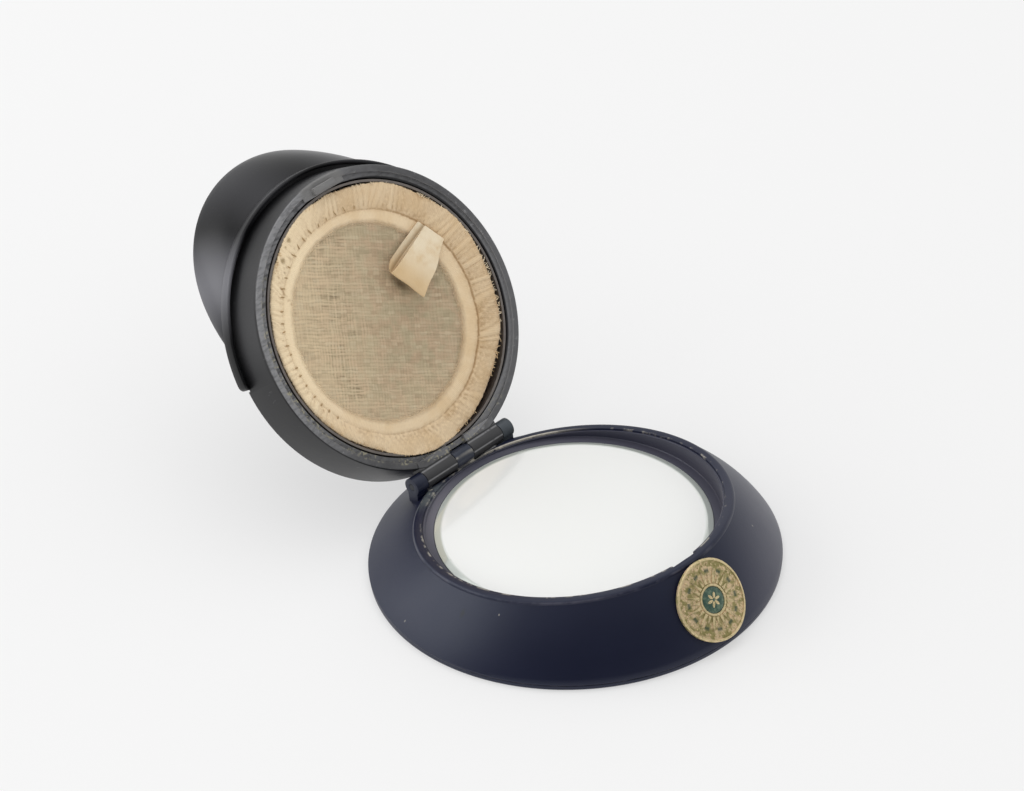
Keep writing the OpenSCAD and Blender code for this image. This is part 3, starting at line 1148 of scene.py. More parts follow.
@dataclass(frozen=True)
class Gauze:
    """Coarse woven gauze: two sets of uneven threads with small holes between them."""

    thread: Colour = (194, 178, 146)
    bright: Colour = (220, 204, 172)
    hole: Colour = (98, 80, 56)
    worn: Colour = (202, 177, 146)
    pale: Colour = (236, 212, 174)
    pitch: float = 0.66
    turn: float = -26.5

    def make(self) -> Material:
        """Builds the material.

        Returns:
            The material.
        """
        r = Recipe("puff_gauze")
        at = r.spot(LID_FRAME)
        x, y, _ = r.parts(at)
        cosine, sine = math.cos(math.radians(self.turn)), math.sin(math.radians(self.turn))
        along, across = x * cosine + y * sine, y * cosine - x * sine
        plane = r.join(along, across)
        wander = r.cloud(plane, 4, 3, 3) * 1.1
        weft = self.threads(r, across + wander, plane, (14, 1, 1), 5)
        warp = self.threads(r, along + wander, plane, (1, 14, 1), 11)

        # Soiled in patches, and paler on the left and at the bottom
        left = (y * 0.35 - x).rise(-4.0, 19.0)
        low = (y + x * 0.3).fall(-17.0, -7.0)
        r.start(r.cloud(plane, 3, 4, 23).rise(0.38, 0.62), ink(self.thread), ink(self.worn))
        r.paint(left.at_least(low * 0.5) * 0.7, self.pale)

        # Thick and thin places of the threads
        cell = r.node("ShaderNodeVectorMath", {"operation": "SNAP"},
                      {0: r.join(along + wander, across + wander),
                       1: (self.pitch * 2, self.pitch, 1.0)})
        slub = r.cloud(cell, 0.9, 1, 61)
        r.paint(slub.rise(0.5, 0.75) * 0.45, self.bright)
        r.paint(slub.fall(0.3, 0.5) * 0.16, self.hole)
        strand = weft * r.cloud(plane, 0.6, 2, 41, (20, 1, 1)).rise(0.5, 0.75)
        r.paint(strand * 0.35, self.bright)

        # The holes, most open on the left
        gap = (1 - weft) * (1 - warp)
        dash = ((1 - weft) ** 2) * r.cloud(plane, 0.5, 2, 31, (4, 1, 1)).rise(0.46, 0.62)
        open_part = left.rise(0.2, 0.7, 0.4, 1.0) * left.rise(0.85, 1.0, 1.0, 0.5)
        patchy = r.cloud(plane, 4, 3, 7).rise(0.3, 0.65, 0.15, 1.0)
        r.paint((gap ** 1.4 * 0.8 + dash * 0.6) * open_part * patchy * 0.62, self.hole)
        r.paint((1 - warp) * 0.07 + (1 - weft) * 0.09, self.hole)
        # Painted shadow under the tab's lower edge, laid on in the holes' dark colour
        tab_shadow = ((x * 0.876 + y * 0.48).hump(7.4, 1.3)
                     * (x * 0.48 - y * 0.876).hump(-0.6, 3.6))
        r.paint(tab_shadow * 0.75, self.hole)
        return r.finish(weft + warp, 0.06, Roughness=0.88, Specular_IOR_Level=0.2,
                        Sheen_Weight=0.2)

    def threads(self, r: Recipe, run: Wire, plane: Wire, stretch: Sequence[float],
                seed: float) -> Wire:
        """One set of threads, each with its own thickness and strength.

        Args:
            r: The recipe.
            run: The distance across the threads.
            plane: The point on the cloth.
            stretch: How the threads' own variation is drawn out along them.
            seed: Moves that variation.

        Returns:
            1 on a thread's top and 0 between threads.
        """
        tops = (run * (math.pi / self.pitch)).sine().size()
        return (tops ** 0.8) * r.cloud(plane, 0.5, 2, seed, stretch).rise(0.3, 0.64, 0.08, 1.0)


@dataclass(frozen=True)
class Ribbon:
    """Peach ribbon: ribbed across, with painted light on its left and painted shade in its crease
    and valleys, sheer and frayed at its edges.
    """

    base: Colour = (250, 227, 191)
    pale: Colour = (255, 233, 195)
    deep: Colour = (166, 130, 88)
    stain: Colour = (236, 206, 162)
    olive: Colour = (138, 112, 66)
    blotches: Sequence[Sequence[float]] = (
        (-11.6, 21.7, 0.62), (-14.8, 19.0, 0.7), (-12.9, 20.9, 0.3), (-15.6, 16.9, 0.3))
    rib: float = 0.34
    rib_radius: float = 22.0
    seam: float = 21.2

    def make(self) -> Material:
        """Builds the material.

        Returns:
            The material.
        """
        r = Recipe("peach_ribbon")
        at = r.spot(LID_FRAME)
        x, y, depth = r.parts(at)
        across, shade = r.attribute("across"), r.attribute("shade")
        ribs = r.angle(x, y) * round(math.tau * self.rib_radius / self.rib)
        ribs = ribs.sine() * 0.5 + 0.5
        patch, fine = r.cloud(at, 5, 4, 3), r.cloud(at, 0.4, 4, 8)

        # Paler on the left with painted light, stained in patches, and darker on the right and at
        # the top with painted shade
        lit_left = (y * 0.5 - x * 0.85).rise(8.0, 20.0)
        right = (x * 0.9 - y * 0.43).rise(-20.0, 20.0)
        far = (x * 0.95 + y * 0.32).rise(-6.0, 14.0) * across.rise(20.9, 21.6)
        r.start(lit_left, ink(self.base), ink(self.pale))
        r.paint(patch.rise(0.35, 0.7) * (0.6 - lit_left * 0.5) + right * 0.25, self.stain)
        r.paint(ribs * fine * (0.24 - lit_left * 0.16), self.deep)
        r.paint(far * 0.16, self.deep)

        # Painted shade in the pleats' valleys, along the seam on the right and down the side
        r.paint(shade * r.cloud(at, 0.6, 3, 33).rise(0.25, 0.6) * 0.8, self.deep)
        seam = across.hump(self.seam, 0.36) * (x * 0.98 - y * 0.1).rise(2.0, 15.0)
        r.paint(seam * r.cloud(at, 1.1, 3, 61).rise(0.3, 0.48) * 0.8, self.deep)
        for spot_x, spot_y, wide in self.blotches:
            near = r.reach(x - spot_x, y - spot_y) + fine * 0.5
            r.paint(near.rise(wide * 0.6, wide + 0.35, 0.7, 0.0), self.olive)
        r.paint(depth.fall(-1.4, -0.5) * 0.5, self.deep)

        # Sheer at the inner edge and frayed at the outer one, but whole down the side
        weave = r.cloud(at, 0.3, 3, 19) * 0.5 + r.cloud(at, 1.4, 2, 29) * 0.5
        sheer = (across - weave * 0.7).rise(18.1, 19.4)
        frayed = (across + weave * 0.7).fall(25.45, 25.75)
        return r.finish(ribs * 0.6 + fine, 0.05, Roughness=0.72 - ribs * 0.08,
                        Alpha=sheer * frayed.at_least(depth.fall(-0.9, -0.6)),
                        Specular_IOR_Level=0.3, Sheen_Weight=0.25, Sheen_Roughness=0.4)


@dataclass(frozen=True)
class TabRibbon:
    """The tab's ribbon: the same peach with ribs along one direction."""

    base: Colour = (246, 230, 200)
    deep: Colour = (222, 190, 142)
    fold: Colour = (150, 118, 70)
    turn: float = 211
    rib: float = 0.3

    def make(self) -> Material:
        """Builds the material.

        Returns:
            The material.
        """
        r = Recipe("tab_ribbon")
        at = r.spot(LID_FRAME)
        x, y, _ = r.parts(at)
        cosine, sine = math.cos(math.radians(self.turn)), math.sin(math.radians(self.turn))
        along, aside = x * cosine + y * sine, y * cosine - x * sine
        ribs = (along * (math.tau / self.rib)).sine() * 0.5 + 0.5
        r.start(r.cloud(at, 3, 4, 6).rise(0.4, 0.9), ink(self.base), ink(self.deep))
        r.paint(ribs * 0.14, self.deep)
        r.paint(along.rise(-14.5, -7.5) * 0.85, self.deep)

        # Painted shade on the strip of the lower layer that shows beside the upper one, darkest
        # next to the upper layer's edge
        lapped = aside + along * 0.221 + 5.45
        r.paint(lapped.fall(-0.04, 0.04) * (lapped.rise(-1.1, -0.1) * 0.5 + 0.12), self.fold)
        return r.finish(ribs * 0.5 + r.cloud(at, 0.5, 3, 2), 0.04, Roughness=0.66,
                        Specular_IOR_Level=0.3, Sheen_Weight=0.25)


@dataclass(frozen=True)
class Thread:
    """Brown sewing thread."""

    base: Colour = (206, 174, 130)

    def make(self) -> Material:
        """Builds the material.

        Returns:
            The material.
        """
        r = Recipe("brown_thread")
        twist = r.cloud(r.spot(LID_FRAME), 0.15, 3, 2)
        r.start(twist, ink(self.base, 0.7), ink(self.base))
        return r.finish(twist, 0.004, Roughness=0.85, Specular_IOR_Level=0.2)


# Studio


@dataclass(frozen=True)
class Softbox:
    """A flat soft light: where it stands, what it looks at, its size and its brightness."""

    name: str
    direction: float
    elevation: float
    distance: float
    width: float
    height: float
    brightness: float
    aim: Sequence[float] = (0.0, 0.02, 0.01)

    def hang(self) -> None:
        """Adds the light. Direction 0 is +Y and turns towards +X; lengths are in metres."""
        turn, lift = math.radians(self.direction), math.radians(self.elevation)
        way = Vector((math.sin(turn) * math.cos(lift), math.cos(turn) * math.cos(lift),
                      math.sin(lift)))
        lamp = bpy.data.lights.new(self.name, "AREA")
        lamp.shape = "RECTANGLE"
        lamp.size, lamp.size_y = self.width, self.height
        lamp.energy = self.brightness * math.pi * self.width * self.height
        light = bpy.data.objects.new(self.name, lamp)
        light.location = way * self.distance + Vector(self.aim)
        light.rotation_mode = "QUATERNION"
        light.rotation_quaternion = (-way).to_track_quat("-Z", "Y")
        bpy.context.scene.collection.objects.link(light)


@dataclass
class Studio:
    """The pale floor, the soft lights, the backdrop and the camera."""

    backdrop: float = 0.925
    daylight: float = 1.03
    camera_side: float = 0.015
    camera_way: Sequence[float] = (0.55, 0.62, 0.56)
    floor_grey: float = 0.885
    floor_glow: float = 0.5
    floor_gleam: float = 0.8
    floor_size: float = 8.0
    camera_spot: Sequence[float] = (-0.554596, -0.567217, 0.613802)
    camera_turn: float = -43.640
    camera_lift: float = 35.973
    camera_roll: float = -3.279
    lens: float = 192.21
    sensor: float = 36.0
    boxes: Sequence[Softbox] = (
        Softbox("left_softbox", -42, 27, 1.3, 1.3, 0.75, 2.0),
        Softbox("top_softbox", 30, 72, 1.5, 1.2, 1.2, 0.6),
    )

    def build(self) -> None:
        """Sets up everything round the object."""
        self.place_camera()
        self.paint_world()
        self.lay_floor()
        for box in self.boxes:
            box.hang()
        bpy.context.scene.view_settings.view_transform = "Standard"
        LOG.info("studio ready: %d lights", len(self.boxes))

    def place_camera(self) -> None:
        """Puts the camera where the photograph was taken from."""
        turn, lift, roll = (math.radians(a) for a in
                            (self.camera_turn, self.camera_lift, self.camera_roll))
        back = Vector((math.sin(turn) * math.cos(lift), -math.cos(turn) * math.cos(lift),
                       math.sin(lift)))
        level = Vector((math.cos(turn), math.sin(turn), 0))
        upright = back.cross(level)
        right = level * math.cos(roll) + upright * math.sin(roll)
        up = upright * math.cos(roll) - level * math.sin(roll)
        data = bpy.data.cameras.new("camera")
        data.lens, data.sensor_width = self.lens, self.sensor
        data.clip_start, data.clip_end = 0.01, 50.0
        camera = bpy.data.objects.new("camera", data)
        camera.matrix_world = Matrix.Translation(self.camera_spot) @ Matrix(
            (right, up, back)).transposed().to_4x4()
        bpy.context.scene.collection.objects.link(camera)
        bpy.context.scene.camera = camera

    def lit(self, tree: Tree, kind: str) -> Wire:
        """A shader that glows as the backdrop does."""
        return tree.node(kind, None, {"Color": (self.backdrop,) * 3 + (1,)})

    def paint_world(self) -> None:
        """A pale room that is darker on the side where the camera stands."""
        world = bpy.data.worlds.new("room")
        world.use_nodes = True
        bpy.context.scene.world = world
        tree = Tree(world.node_tree)
        side = tree.node("ShaderNodeVectorMath", {"operation": "DOT_PRODUCT"},
                         {0: tree.node("ShaderNodeTexCoord", output="Generated"),
                          1: self.camera_way}, "Value")
        room, gleam = (
            tree.node("ShaderNodeBackground", None,
                      {"Strength": side.rise(-0.7, 0.6, dark, bright)})
            for dark, bright in ((self.daylight * 0.9, self.daylight), (self.camera_side, 1.0)))
        glossy = tree.node("ShaderNodeLightPath", output="Is Glossy Ray")
        room = tree.mix(glossy, room, gleam)
        seen = self.lit(tree, "ShaderNodeBackground")
        tree.end("ShaderNodeOutputWorld", tree.mix(glossy.beside("Is Camera Ray"), room, seen))

    def lay_floor(self) -> None:
        """A pale floor that shows white and keeps the object's shadow."""
        clear()
        bpy.ops.mesh.primitive_plane_add(size=self.floor_size)
        floor = named("floor")
        r = Recipe("pale_floor")
        r.set(Base_Color=(self.floor_grey,) * 3 + (1,), Roughness=1.0, Specular_IOR_Level=0.0)
        camera = r.node("ShaderNodeLightPath", output="Is Camera Ray")
        glow = (camera * self.floor_glow + camera.beside("Is Glossy Ray") * self.floor_gleam
                + camera.beside("Is Transmission Ray") * self.floor_gleam)
        r.end("ShaderNodeOutputMaterial",
              r.mix(glow, r.shader, self.lit(r, "ShaderNodeEmission")))
        floor.data.materials.append(r.material)


# The crown's side


@dataclass
class Crown:
    """The navy crown: its swelling side and tilted neck, the disc under it, and its ears."""

    radius: float = 38.0
    disc_seat: Sequence[float] = (36.2, 1.03)
    skirt_top: float = 1.5
    neck: float = 29.6
    neck_round: float = 0.7
    swell: float = 0.6
    step_radius: float = 27.8
    step_depth: float = 0.3
    bore: float = 27.4
    ledge: float = 7.923
    seat: float = 5.623
    mirror_hole: float = 25.62
    hollow: Sequence[Sequence[float]] = ((23.6, 4.32), (33.6, 4.32))
    disc_middle: float = 30.0
    knuckle: float = 1.75
    pin_bore: float = 0.65
    relief: float = 2.05
    middle_half: float = 2.1
    ear: Sequence[float] = (9.9, 12.6)
    web_width: float = 2.6
    web_depth: float = 3.4
    notch: Sequence[Sequence[float]] = ((-3.0, -28.15, -1.42), (3.0, -26.35, 0.6))

    def rim_ring(self, radius: float, depth: float) -> Ring:
        """A ring in the tilted rim's own frame, at a height over its plane."""
        tilt = math.radians(RIM_TILT)
        return Ring(radius, RIM_HEIGHT + depth * math.cos(tilt), RIM_TILT,
                    depth * math.sin(tilt))

    def side_ring(self, t: float) -> Ring:
        """A ring of the swelling side, from 0 at the skirt to 1 at the neck's rounding."""
        top = RIM_HEIGHT - self.neck_round
        return Ring(self.radius * (1 - t) + self.neck * t + self.swell * 4 * t * (1 - t),
                    self.skirt_top * (1 - t) + top * t, RIM_TILT * t,
                    -math.sin(math.radians(RIM_TILT)) * self.neck_round * t)

    def build_wall(self, steps: int = 14) -> Piece:
        """Turns the wall from its foot, over the rim and down to the mirror's seat.

        Args:
            steps: How many steps the swelling side has.

        Returns:
            The wall.
        """
        radius, bore, hole, seat = self.radius, self.bore, self.mirror_hole, self.seat
        step, depth = self.step_radius, self.step_depth
        foot = [self.disc_seat, (radius - 0.3, 1.03), (radius - 0.1, 1.1), (radius, 1.25)]
        side = [self.side_ring(i / steps) for i in range(steps + 1)]
        rim = arc(self.neck - self.neck_round, -self.neck_round, self.neck_round, 10, 90)
        rim += [(step + 0.12, 0.0), (step + 0.03, -0.04), (step, -0.12), (step, -depth),
                (bore + 0.06, -depth), (bore, -depth - 0.08)]
        inside = [(bore, self.ledge + 0.12), (bore - 0.12, self.ledge),
                  (hole + 0.06, self.ledge), (hole, self.ledge - 0.08), (hole, seat),
                  (self.hollow[0][0], seat), *self.hollow, self.disc_seat]
        wall = turned("crown_wall", [*foot, *side, *(self.rim_ring(*at) for at in rim), *inside],
                      capped=False)
        inner, outer = self.middle_half, self.ear[0]
        cut(wall, block("notch", *self.notch, RIM_FRAME),
            bar("relief", self.relief, inner, outer, RIM_HINGE_FRAME),
            bar("relief", self.relief, -outer, -inner, RIM_HINGE_FRAME))
        return smooth(wall, 30)

    def build_disc(self) -> Piece:
        """Turns the disc that closes the crown.

        Returns:
            The disc.
        """
        radius = self.radius - 0.1
        rings = [(self.disc_middle, 0.0), (36.6, 0.0), *arc(radius - 0.4, 0.4, 0.4, -90, 0),
                 (radius, 0.86), (radius - 0.12, 0.97), (radius - 0.5, 1.0),
                 (self.disc_middle, 1.0)]
        return smooth(turned("crown_disc", rings, capped=True), 30)

    def build_ear(self, name: str, x0: float, x1: float) -> Piece:
        """A hinge knuckle on its web: a round bar whose underside is drawn down.

        Args:
            name: The piece's name.
            x0: Its left end.
            x1: Its right end.

        Returns:
            The knuckle.
        """
        ear = bar(name, self.knuckle, x0, x1, corners=40)
        half = self.web_width / 2
        draw_out(ear, lambda at, way: way.z < -0.6 and abs(at.y) < half,
                 (0, 0, -self.web_depth))
        cut(ear, bar("pin_bore", self.pin_bore, x0 - 1, x1 + 1, corners=32))
        return settle(soften(ear, 0.16), RIM_HINGE_FRAME)

    def build(self, navy: Material) -> None:
        """Builds and dresses the crown's pieces.

        Args:
            navy: The crown's finish.
        """
        dressed(self.build_wall(), navy, Body.CROWN, Slot.NAVY, "crown_shell")
        dressed(self.build_disc(), navy, Body.CROWN, Slot.NAVY, "crown_top_disc")
        for name, x0, x1 in (("hinge_middle", -self.middle_half, self.middle_half),
                             ("hinge_ear_left", -self.ear[1], -self.ear[0]),
                             ("hinge_ear_right", self.ear[0], self.ear[1])):
            dressed(self.build_ear(name, x0, x1), navy, Body.CROWN, Slot.NAVY)


@dataclass
class Mirror:
    """The bevelled mirror in the crown."""

    radius: float = 25.55
    bevel_width: float = 1.1
    foot: float = 6.38
    bevel_foot: float = 7.923
    top: float = 8.273

    def build(self, glass: Material) -> None:
        """Turns the glass with its bevel and dresses it.

        Args:
            glass: The mirror's finish.
        """
        radius, inner, top = self.radius, self.radius - self.bevel_width, self.top
        rings = [(radius - 0.1, self.foot), (radius, self.foot + 0.1),
                 (radius, self.bevel_foot - 0.04), (radius - 0.05, self.bevel_foot + 0.03),
                 (inner + 0.12, top - 0.03), (inner, top - 0.004), (inner - 0.15, top)]
        plate = smooth(turned("mirror_plate", rings, capped=True, corners=256), 30)
        dressed(plate, glass, Body.CROWN, Slot.GLASS, "mirror_glass")


@dataclass
class Badge:
    """The round brass badge: a bent plate with rays, beads and a green enamel roundel."""

    radius: float = 7.6
    thickness: float = 0.7
    stand: float = 0.602
    rim_width: float = 0.45
    sink: float = 0.2
    curve: float = 40.3
    roundel: float = 2.45
    ray_foot: float = 3.1
    ray_ends: Sequence[float] = (5.75, 4.7)
    ray_half: float = 0.3
    ray_pinch: float = 0.35
    ray_fall: float = 0.6
    ray_inset: float = 0.16
    ray_crest: float = 0.05
    rays: int = 24
    bead: float = 0.21
    bead_spot: float = 6.45
    beads: int = 40
    petal: float = 0.55
    petal_spot: float = 0.85
    petals: int = 6

    def bend(self, piece: Piece) -> Piece:
        """Bends a flat piece round the slope and sets it there.

        Args:
            piece: The piece.

        Returns:
            The same piece.
        """
        reshaped(piece, lambda p: Vector((
            p.x, p.y, p.z + math.sqrt(self.curve ** 2 - p.x ** 2) - self.curve)))
        return settle(piece, BADGE_FRAME)

    def build_plate(self) -> Piece:
        """Turns the plate with its raised rim, its sunk field and its middle collar.

        Returns:
            The plate, flat.
        """
        edge, foot, top = self.radius, self.stand, self.stand + self.thickness
        field_top, rim_in, collar = top - self.sink, edge - self.rim_width, self.roundel
        rings = [(3.0, foot), (6.0, foot), (edge - 0.12, foot), (edge, foot + 0.12),
                 (edge, top - 0.14), (edge - 0.14, top - 0.01), (rim_in + 0.06, top),
                 (rim_in - 0.02, top - 0.06), (rim_in - 0.06, field_top), (5.9, field_top),
                 (4.6, field_top), (3.3, field_top), (collar + 0.5, field_top),
                 (collar + 0.44, top - 0.03), (collar + 0.3, top), (collar + 0.08, top - 0.02),
                 (collar + 0.03, top - 0.1), (collar + 0.02, top - 0.35), (1.0, top - 0.35)]
        return turned("badge_disc", rings, capped=True, corners=128)

    def build_rays(self) -> list[Piece]:
        """One ray, drawn out and pinched, then copied round in two lengths.

        Returns:
            The rays, flat.
        """
        low, top = self.stand + self.thickness - self.sink - 0.05, self.stand + self.thickness
        pieces = []
        for kind, end in enumerate(self.ray_ends):
            ray = block("ray", (self.ray_foot, -self.ray_half, low),
                        (end, self.ray_half, top - 0.02 - 0.04 * kind))
            edit(ray)
            select_faces(ray, lambda at, way: way.x > 0.9)
            bpy.ops.transform.resize(value=(1, self.ray_pinch, self.ray_fall),
                                     center_override=(0, 0, low * MM))
            bpy.ops.mesh.select_all(action="DESELECT")
            select_faces(ray, lambda at, way: way.z > 0.5)
            bpy.ops.mesh.inset(thickness=self.ray_inset * MM, depth=self.ray_crest * MM)
            clear()
            pieces += spread(ray, around(self.rays // 2, kind / 2))
        return pieces

    def build_roundel(self) -> Piece:
        """Turns the domed enamel roundel.

        Returns:
            The roundel, flat.
        """
        edge, top = self.roundel, self.stand + self.thickness
        rings = [(edge - 0.05, top - 0.35), (edge, top - 0.2), (edge - 0.06, top - 0.1),
                 (edge - 0.4, top - 0.05), (1.2, top - 0.01), (0.4, top)]
        return turned("badge_roundel", rings, capped=True, corners=64)

    def build(self, brass: Material, enamel: Material) -> None:
        """Builds and dresses the badge.

        Args:
            brass: The metal's finish.
            enamel: The roundel's finish.
        """
        top = self.stand + self.thickness
        plate = smooth(self.bend(self.build_plate()), 35)
        dressed(plate, brass, Body.CROWN, Slot.BRASS, "badge_plate")
        rays = self.build_rays()
        bead = ball("bead", self.bead, (self.bead_spot, 0, top - self.sink), (1.15, 0.95, 0.8))
        relief = joined("badge_relief", rays + spread(bead, around(self.beads)))
        dressed(smooth(self.bend(relief), 40), brass, Body.CROWN, Slot.BRASS)
        petal = ball("petal", self.petal, (self.petal_spot, 0, top), (1.1, 0.5, 0.22))
        flower = joined("badge_flower", spread(petal, around(self.petals)))
        dressed(smooth(self.bend(flower), 60), brass, Body.CROWN, Slot.BRASS)
        dressed(smooth(self.bend(self.build_roundel()), 50), enamel, Body.CROWN, Slot.ENAMEL,
                "badge_enamel")


# The lid's side


@dataclass
class Band:
    """The black band: its wall, the catch in its mouth and its two hinge knuckles."""

    rim: float = 0.77
    back: float = -7.88
    rim_radius: float = 28.75
    back_radius: float = 29.6
    edge_round: float = 0.4
    mouth: float = 27.4
    mouth_depth: float = 0.55
    well: float = 26.3
    base_radius: float = 27.4
    base_seat: float = -6.68
    knuckle: float = 1.75
    relief: float = 2.05
    reliefs: Sequence[Sequence[float]] = ((-2.25, 2.25), (9.75, 12.9), (-12.9, -9.75))
    knuckle_span: Sequence[float] = (2.25, 9.75)
    web_reach: float = 3.4
    flange_in: float = 28.1
    flange_depth: float = 0.8
    rebate_out: float = 31.5
    hinge_half: Sequence[Sequence[float]] = ((-40, -40, -12), (40, 0.55, 12))
    land: Sequence[Sequence[float]] = ((-5.0, 26.1, -2.23), (5.0, 27.9, 0.765))
    tongue: Sequence[Sequence[float]] = ((-2.6, 26.35, -1.5), (2.6, 27.75, 1.77))

    def build_wall(self) -> Piece:
        """Turns the wall and cuts its hinge reliefs and the visor's rebate.

        Returns:
            The wall.
        """
        mouth, well, turn = self.mouth, self.well, self.edge_round
        ledge = self.rim - self.mouth_depth
        start, seat = (self.base_radius, self.back), (self.base_radius, self.base_seat)
        rings = [start, *arc(self.back_radius - turn, self.back + turn, turn, -90, 0),
                 *arc(self.rim_radius - turn, self.rim - turn, turn, 0, 90),
                 (mouth + 0.1, self.rim), (mouth, self.rim - 0.08), (mouth, ledge),
                 (well + 0.1, ledge), (well, ledge - 0.1), (well, self.base_seat), seat, start]
        wall = turned("band_wall", rings, capped=False)
        inner, outer = self.flange_in, self.rebate_out
        low, high = self.back - 0.5, self.back + self.flange_depth
        rebate = turned("rebate", [(inner, low), (outer, low), (outer, high), (inner, high),
                                   (inner, low)], capped=False)
        cut(rebate, block("half", *self.hinge_half))
        axis = moved(0, -LID_REACH, 0)
        cut(wall, rebate, *[bar("relief", self.relief, x0, x1, axis) for x0, x1 in self.reliefs])
        return settle(smooth(wall, 30), LID_FRAME)

    def build_catch(self) -> list[Piece]:
        """The flat land inside the mouth and the tongue that stands over it.

        Returns:
            The land and the tongue.
        """
        land, tongue = block("catch_land", *self.land), block("catch_tongue", *self.tongue)
        edit(tongue)
        select_faces(tongue, lambda at, way: way.z > 0.9)
        bpy.ops.mesh.inset(thickness=0.2 * MM, depth=0.0)
        clear()
        return [settle(soften(land, 0.12), LID_FRAME), settle(soften(tongue, 0.25), LID_FRAME)]

    def build_knuckles(self) -> list[Piece]:
        """One lid knuckle, a round bar drawn out into its web, and its twin.

        Returns:
            The two knuckles.
        """
        inner, outer = self.knuckle_span
        left = bar("lid_knuckle_left", self.knuckle, -outer, -inner, corners=40)
        draw_out(left, lambda at, way: way.y > 0.35 and at.z < 1.0, (0, self.web_reach, 0))
        soften(left, 0.14)
        right = copied(left, "lid_knuckle_right", moved(inner + outer, 0, 0))
        return [settle(piece, LID_HINGE_FRAME) for piece in (left, right)]

    def build(self, black: Material) -> None:
        """Builds and dresses the band's pieces.

        Args:
            black: The band's finish.
        """
        dressed(self.build_wall(), black, Body.BAND, Slot.BLACK, "band_shell")
        for piece in self.build_catch() + self.build_knuckles():
            dressed(piece, black, Body.BAND, Slot.BLACK)


@dataclass
class Visor:
    """The visor: a tapering blade that droops from a raised collar round the band's back."""

    back: float = -7.88
    flange_in: float = 28.2
    flange_depth: float = 0.8
    collar_middle: float = 30.625
    collar_round: float = 0.375
    collar_top: float = -5.955
    collar_half: float = 88.0
    tip_turn: float = 0.8
    fall_turn: float = 2.8
    tip_fall: float = 1.0
    tip_in: float = 1.0
    root_in: float = 0.78
    reach: float = 13.5
    half: float = 73.0
    slope: float = 61.3
    droop: float = 46.0
    root_out: float = 30.364
    thickness: float = 1.2
    belly: float = 0.06
    taper: float = 0.18
    power: float = 0.8
    rows: int = 10
    columns: int = 132
    beside: int = 6
    tip_steps: Sequence[float] = (0.0, 0.02, 0.07, 0.16, 0.34, 0.5, 0.7, 1.0)

    def blade_point(self, turn: float, run: float, side: int) -> tuple[float, float]:
        """A place on the blade's section: radius and height.

        Args:
            turn: Angle from the visor's middle.
            run: 0 at the root and 1 at the edge.
            side: 0 on the outer face and 1 on the inner one.

        Returns:
            The radius and the height.
        """
        inside = abs(turn) < self.half
        width = self.reach * math.cos(
            math.radians(90 * turn / self.half)) ** self.power if inside else 0.0
        lean = math.radians(self.slope + self.droop * (
            1 - math.cos(math.radians(min(abs(turn), self.half)))))
        bulge = width * self.belly * 4 * run * (1 - run)
        root = self.thickness / math.sin(math.radians(self.slope))
        across = root * (side + self.taper * run * (1 - 2 * side))
        return (self.root_out - across + width * run * math.cos(lean) + bulge * math.sin(lean),
                self.back - width * run * math.sin(lean) + bulge * math.cos(lean))

    def section(self, turn: float) -> list[tuple[float, float]]:
        """The visor's whole section at an angle: flange, blade and collar.

        Args:
            turn: Angle from the visor's middle.

        Returns:
            The radius and height of each corner.
        """
        away = self.collar_half - abs(turn)
        half = max(0.004, self.collar_round * quarter_round(min(1.0, away / self.tip_turn)))
        sunk = 1 - quarter_round(min(1.0, away / self.fall_turn))
        top = self.collar_top - self.tip_fall * sunk
        middle = self.collar_middle - self.tip_in * sunk
        flange_top = self.back + self.flange_depth
        runs = [j / self.rows for j in range(self.rows + 1)]
        outer = [self.blade_point(turn, run, 0) for run in reversed(runs)]
        return [(self.flange_in, self.back),
                *[self.blade_point(turn, run, 1) for run in runs],
                *[(radius - self.root_in * sunk, height) for radius, height in outer],
                (middle + half, self.back), (middle + half, (self.back + top) / 2),
                *arc(middle, top, half, 0, 180, 8),
                (middle - half, flange_top), (self.flange_in, flange_top)]

    def turns(self) -> list[float]:
        """The angles at which the section is set, closer together at the tips.

        Returns:
            The angles.
        """
        foot = self.collar_half - self.fall_turn
        tips = [self.collar_half - self.fall_turn * step for step in self.tip_steps]
        ends = tips + [foot - (foot - self.half) * i / self.beside for i in range(1, self.beside)]
        blade = [self.half * (2 * i / self.columns - 1) for i in range(self.columns + 1)]
        return [-turn for turn in ends] + blade + ends[::-1]

    def build(self, plastic: Material) -> None:
        """Lays a grid round the band along the sections and closes it into the visor.

        Args:
            plastic: The visor's finish.
        """
        turns = self.turns()
        sections = [self.section(turn) for turn in turns]
        columns, count = len(turns) - 1, len(sections[0])
        visor = grid("visor_peak", columns, count)

        def wrap(p: Vector) -> Vector:
            """Moves a grid point to its place on the sections.

            Args:
                p: The point.

            Returns:
                Its place.
            """
            i, j = round(p.x * columns), round(p.y * count) % count
            radius, height = sections[i][j]
            turn = math.radians(turns[i])
            return Vector((radius * math.sin(turn), radius * math.cos(turn), height))

        edit(reshaped(visor, wrap), "SELECT")
        bpy.ops.mesh.remove_doubles(threshold=1e-7)
        bpy.ops.mesh.select_all(action="DESELECT")
        bpy.ops.mesh.select_mode(type="EDGE")
        bpy.ops.mesh.select_non_manifold()
        bpy.ops.mesh.edge_face_add()
        close_up()
        settle(soften(visor, 0.2, 50), LID_FRAME)
        dressed(visor, plastic, Body.BAND, Slot.VISOR, "visor")


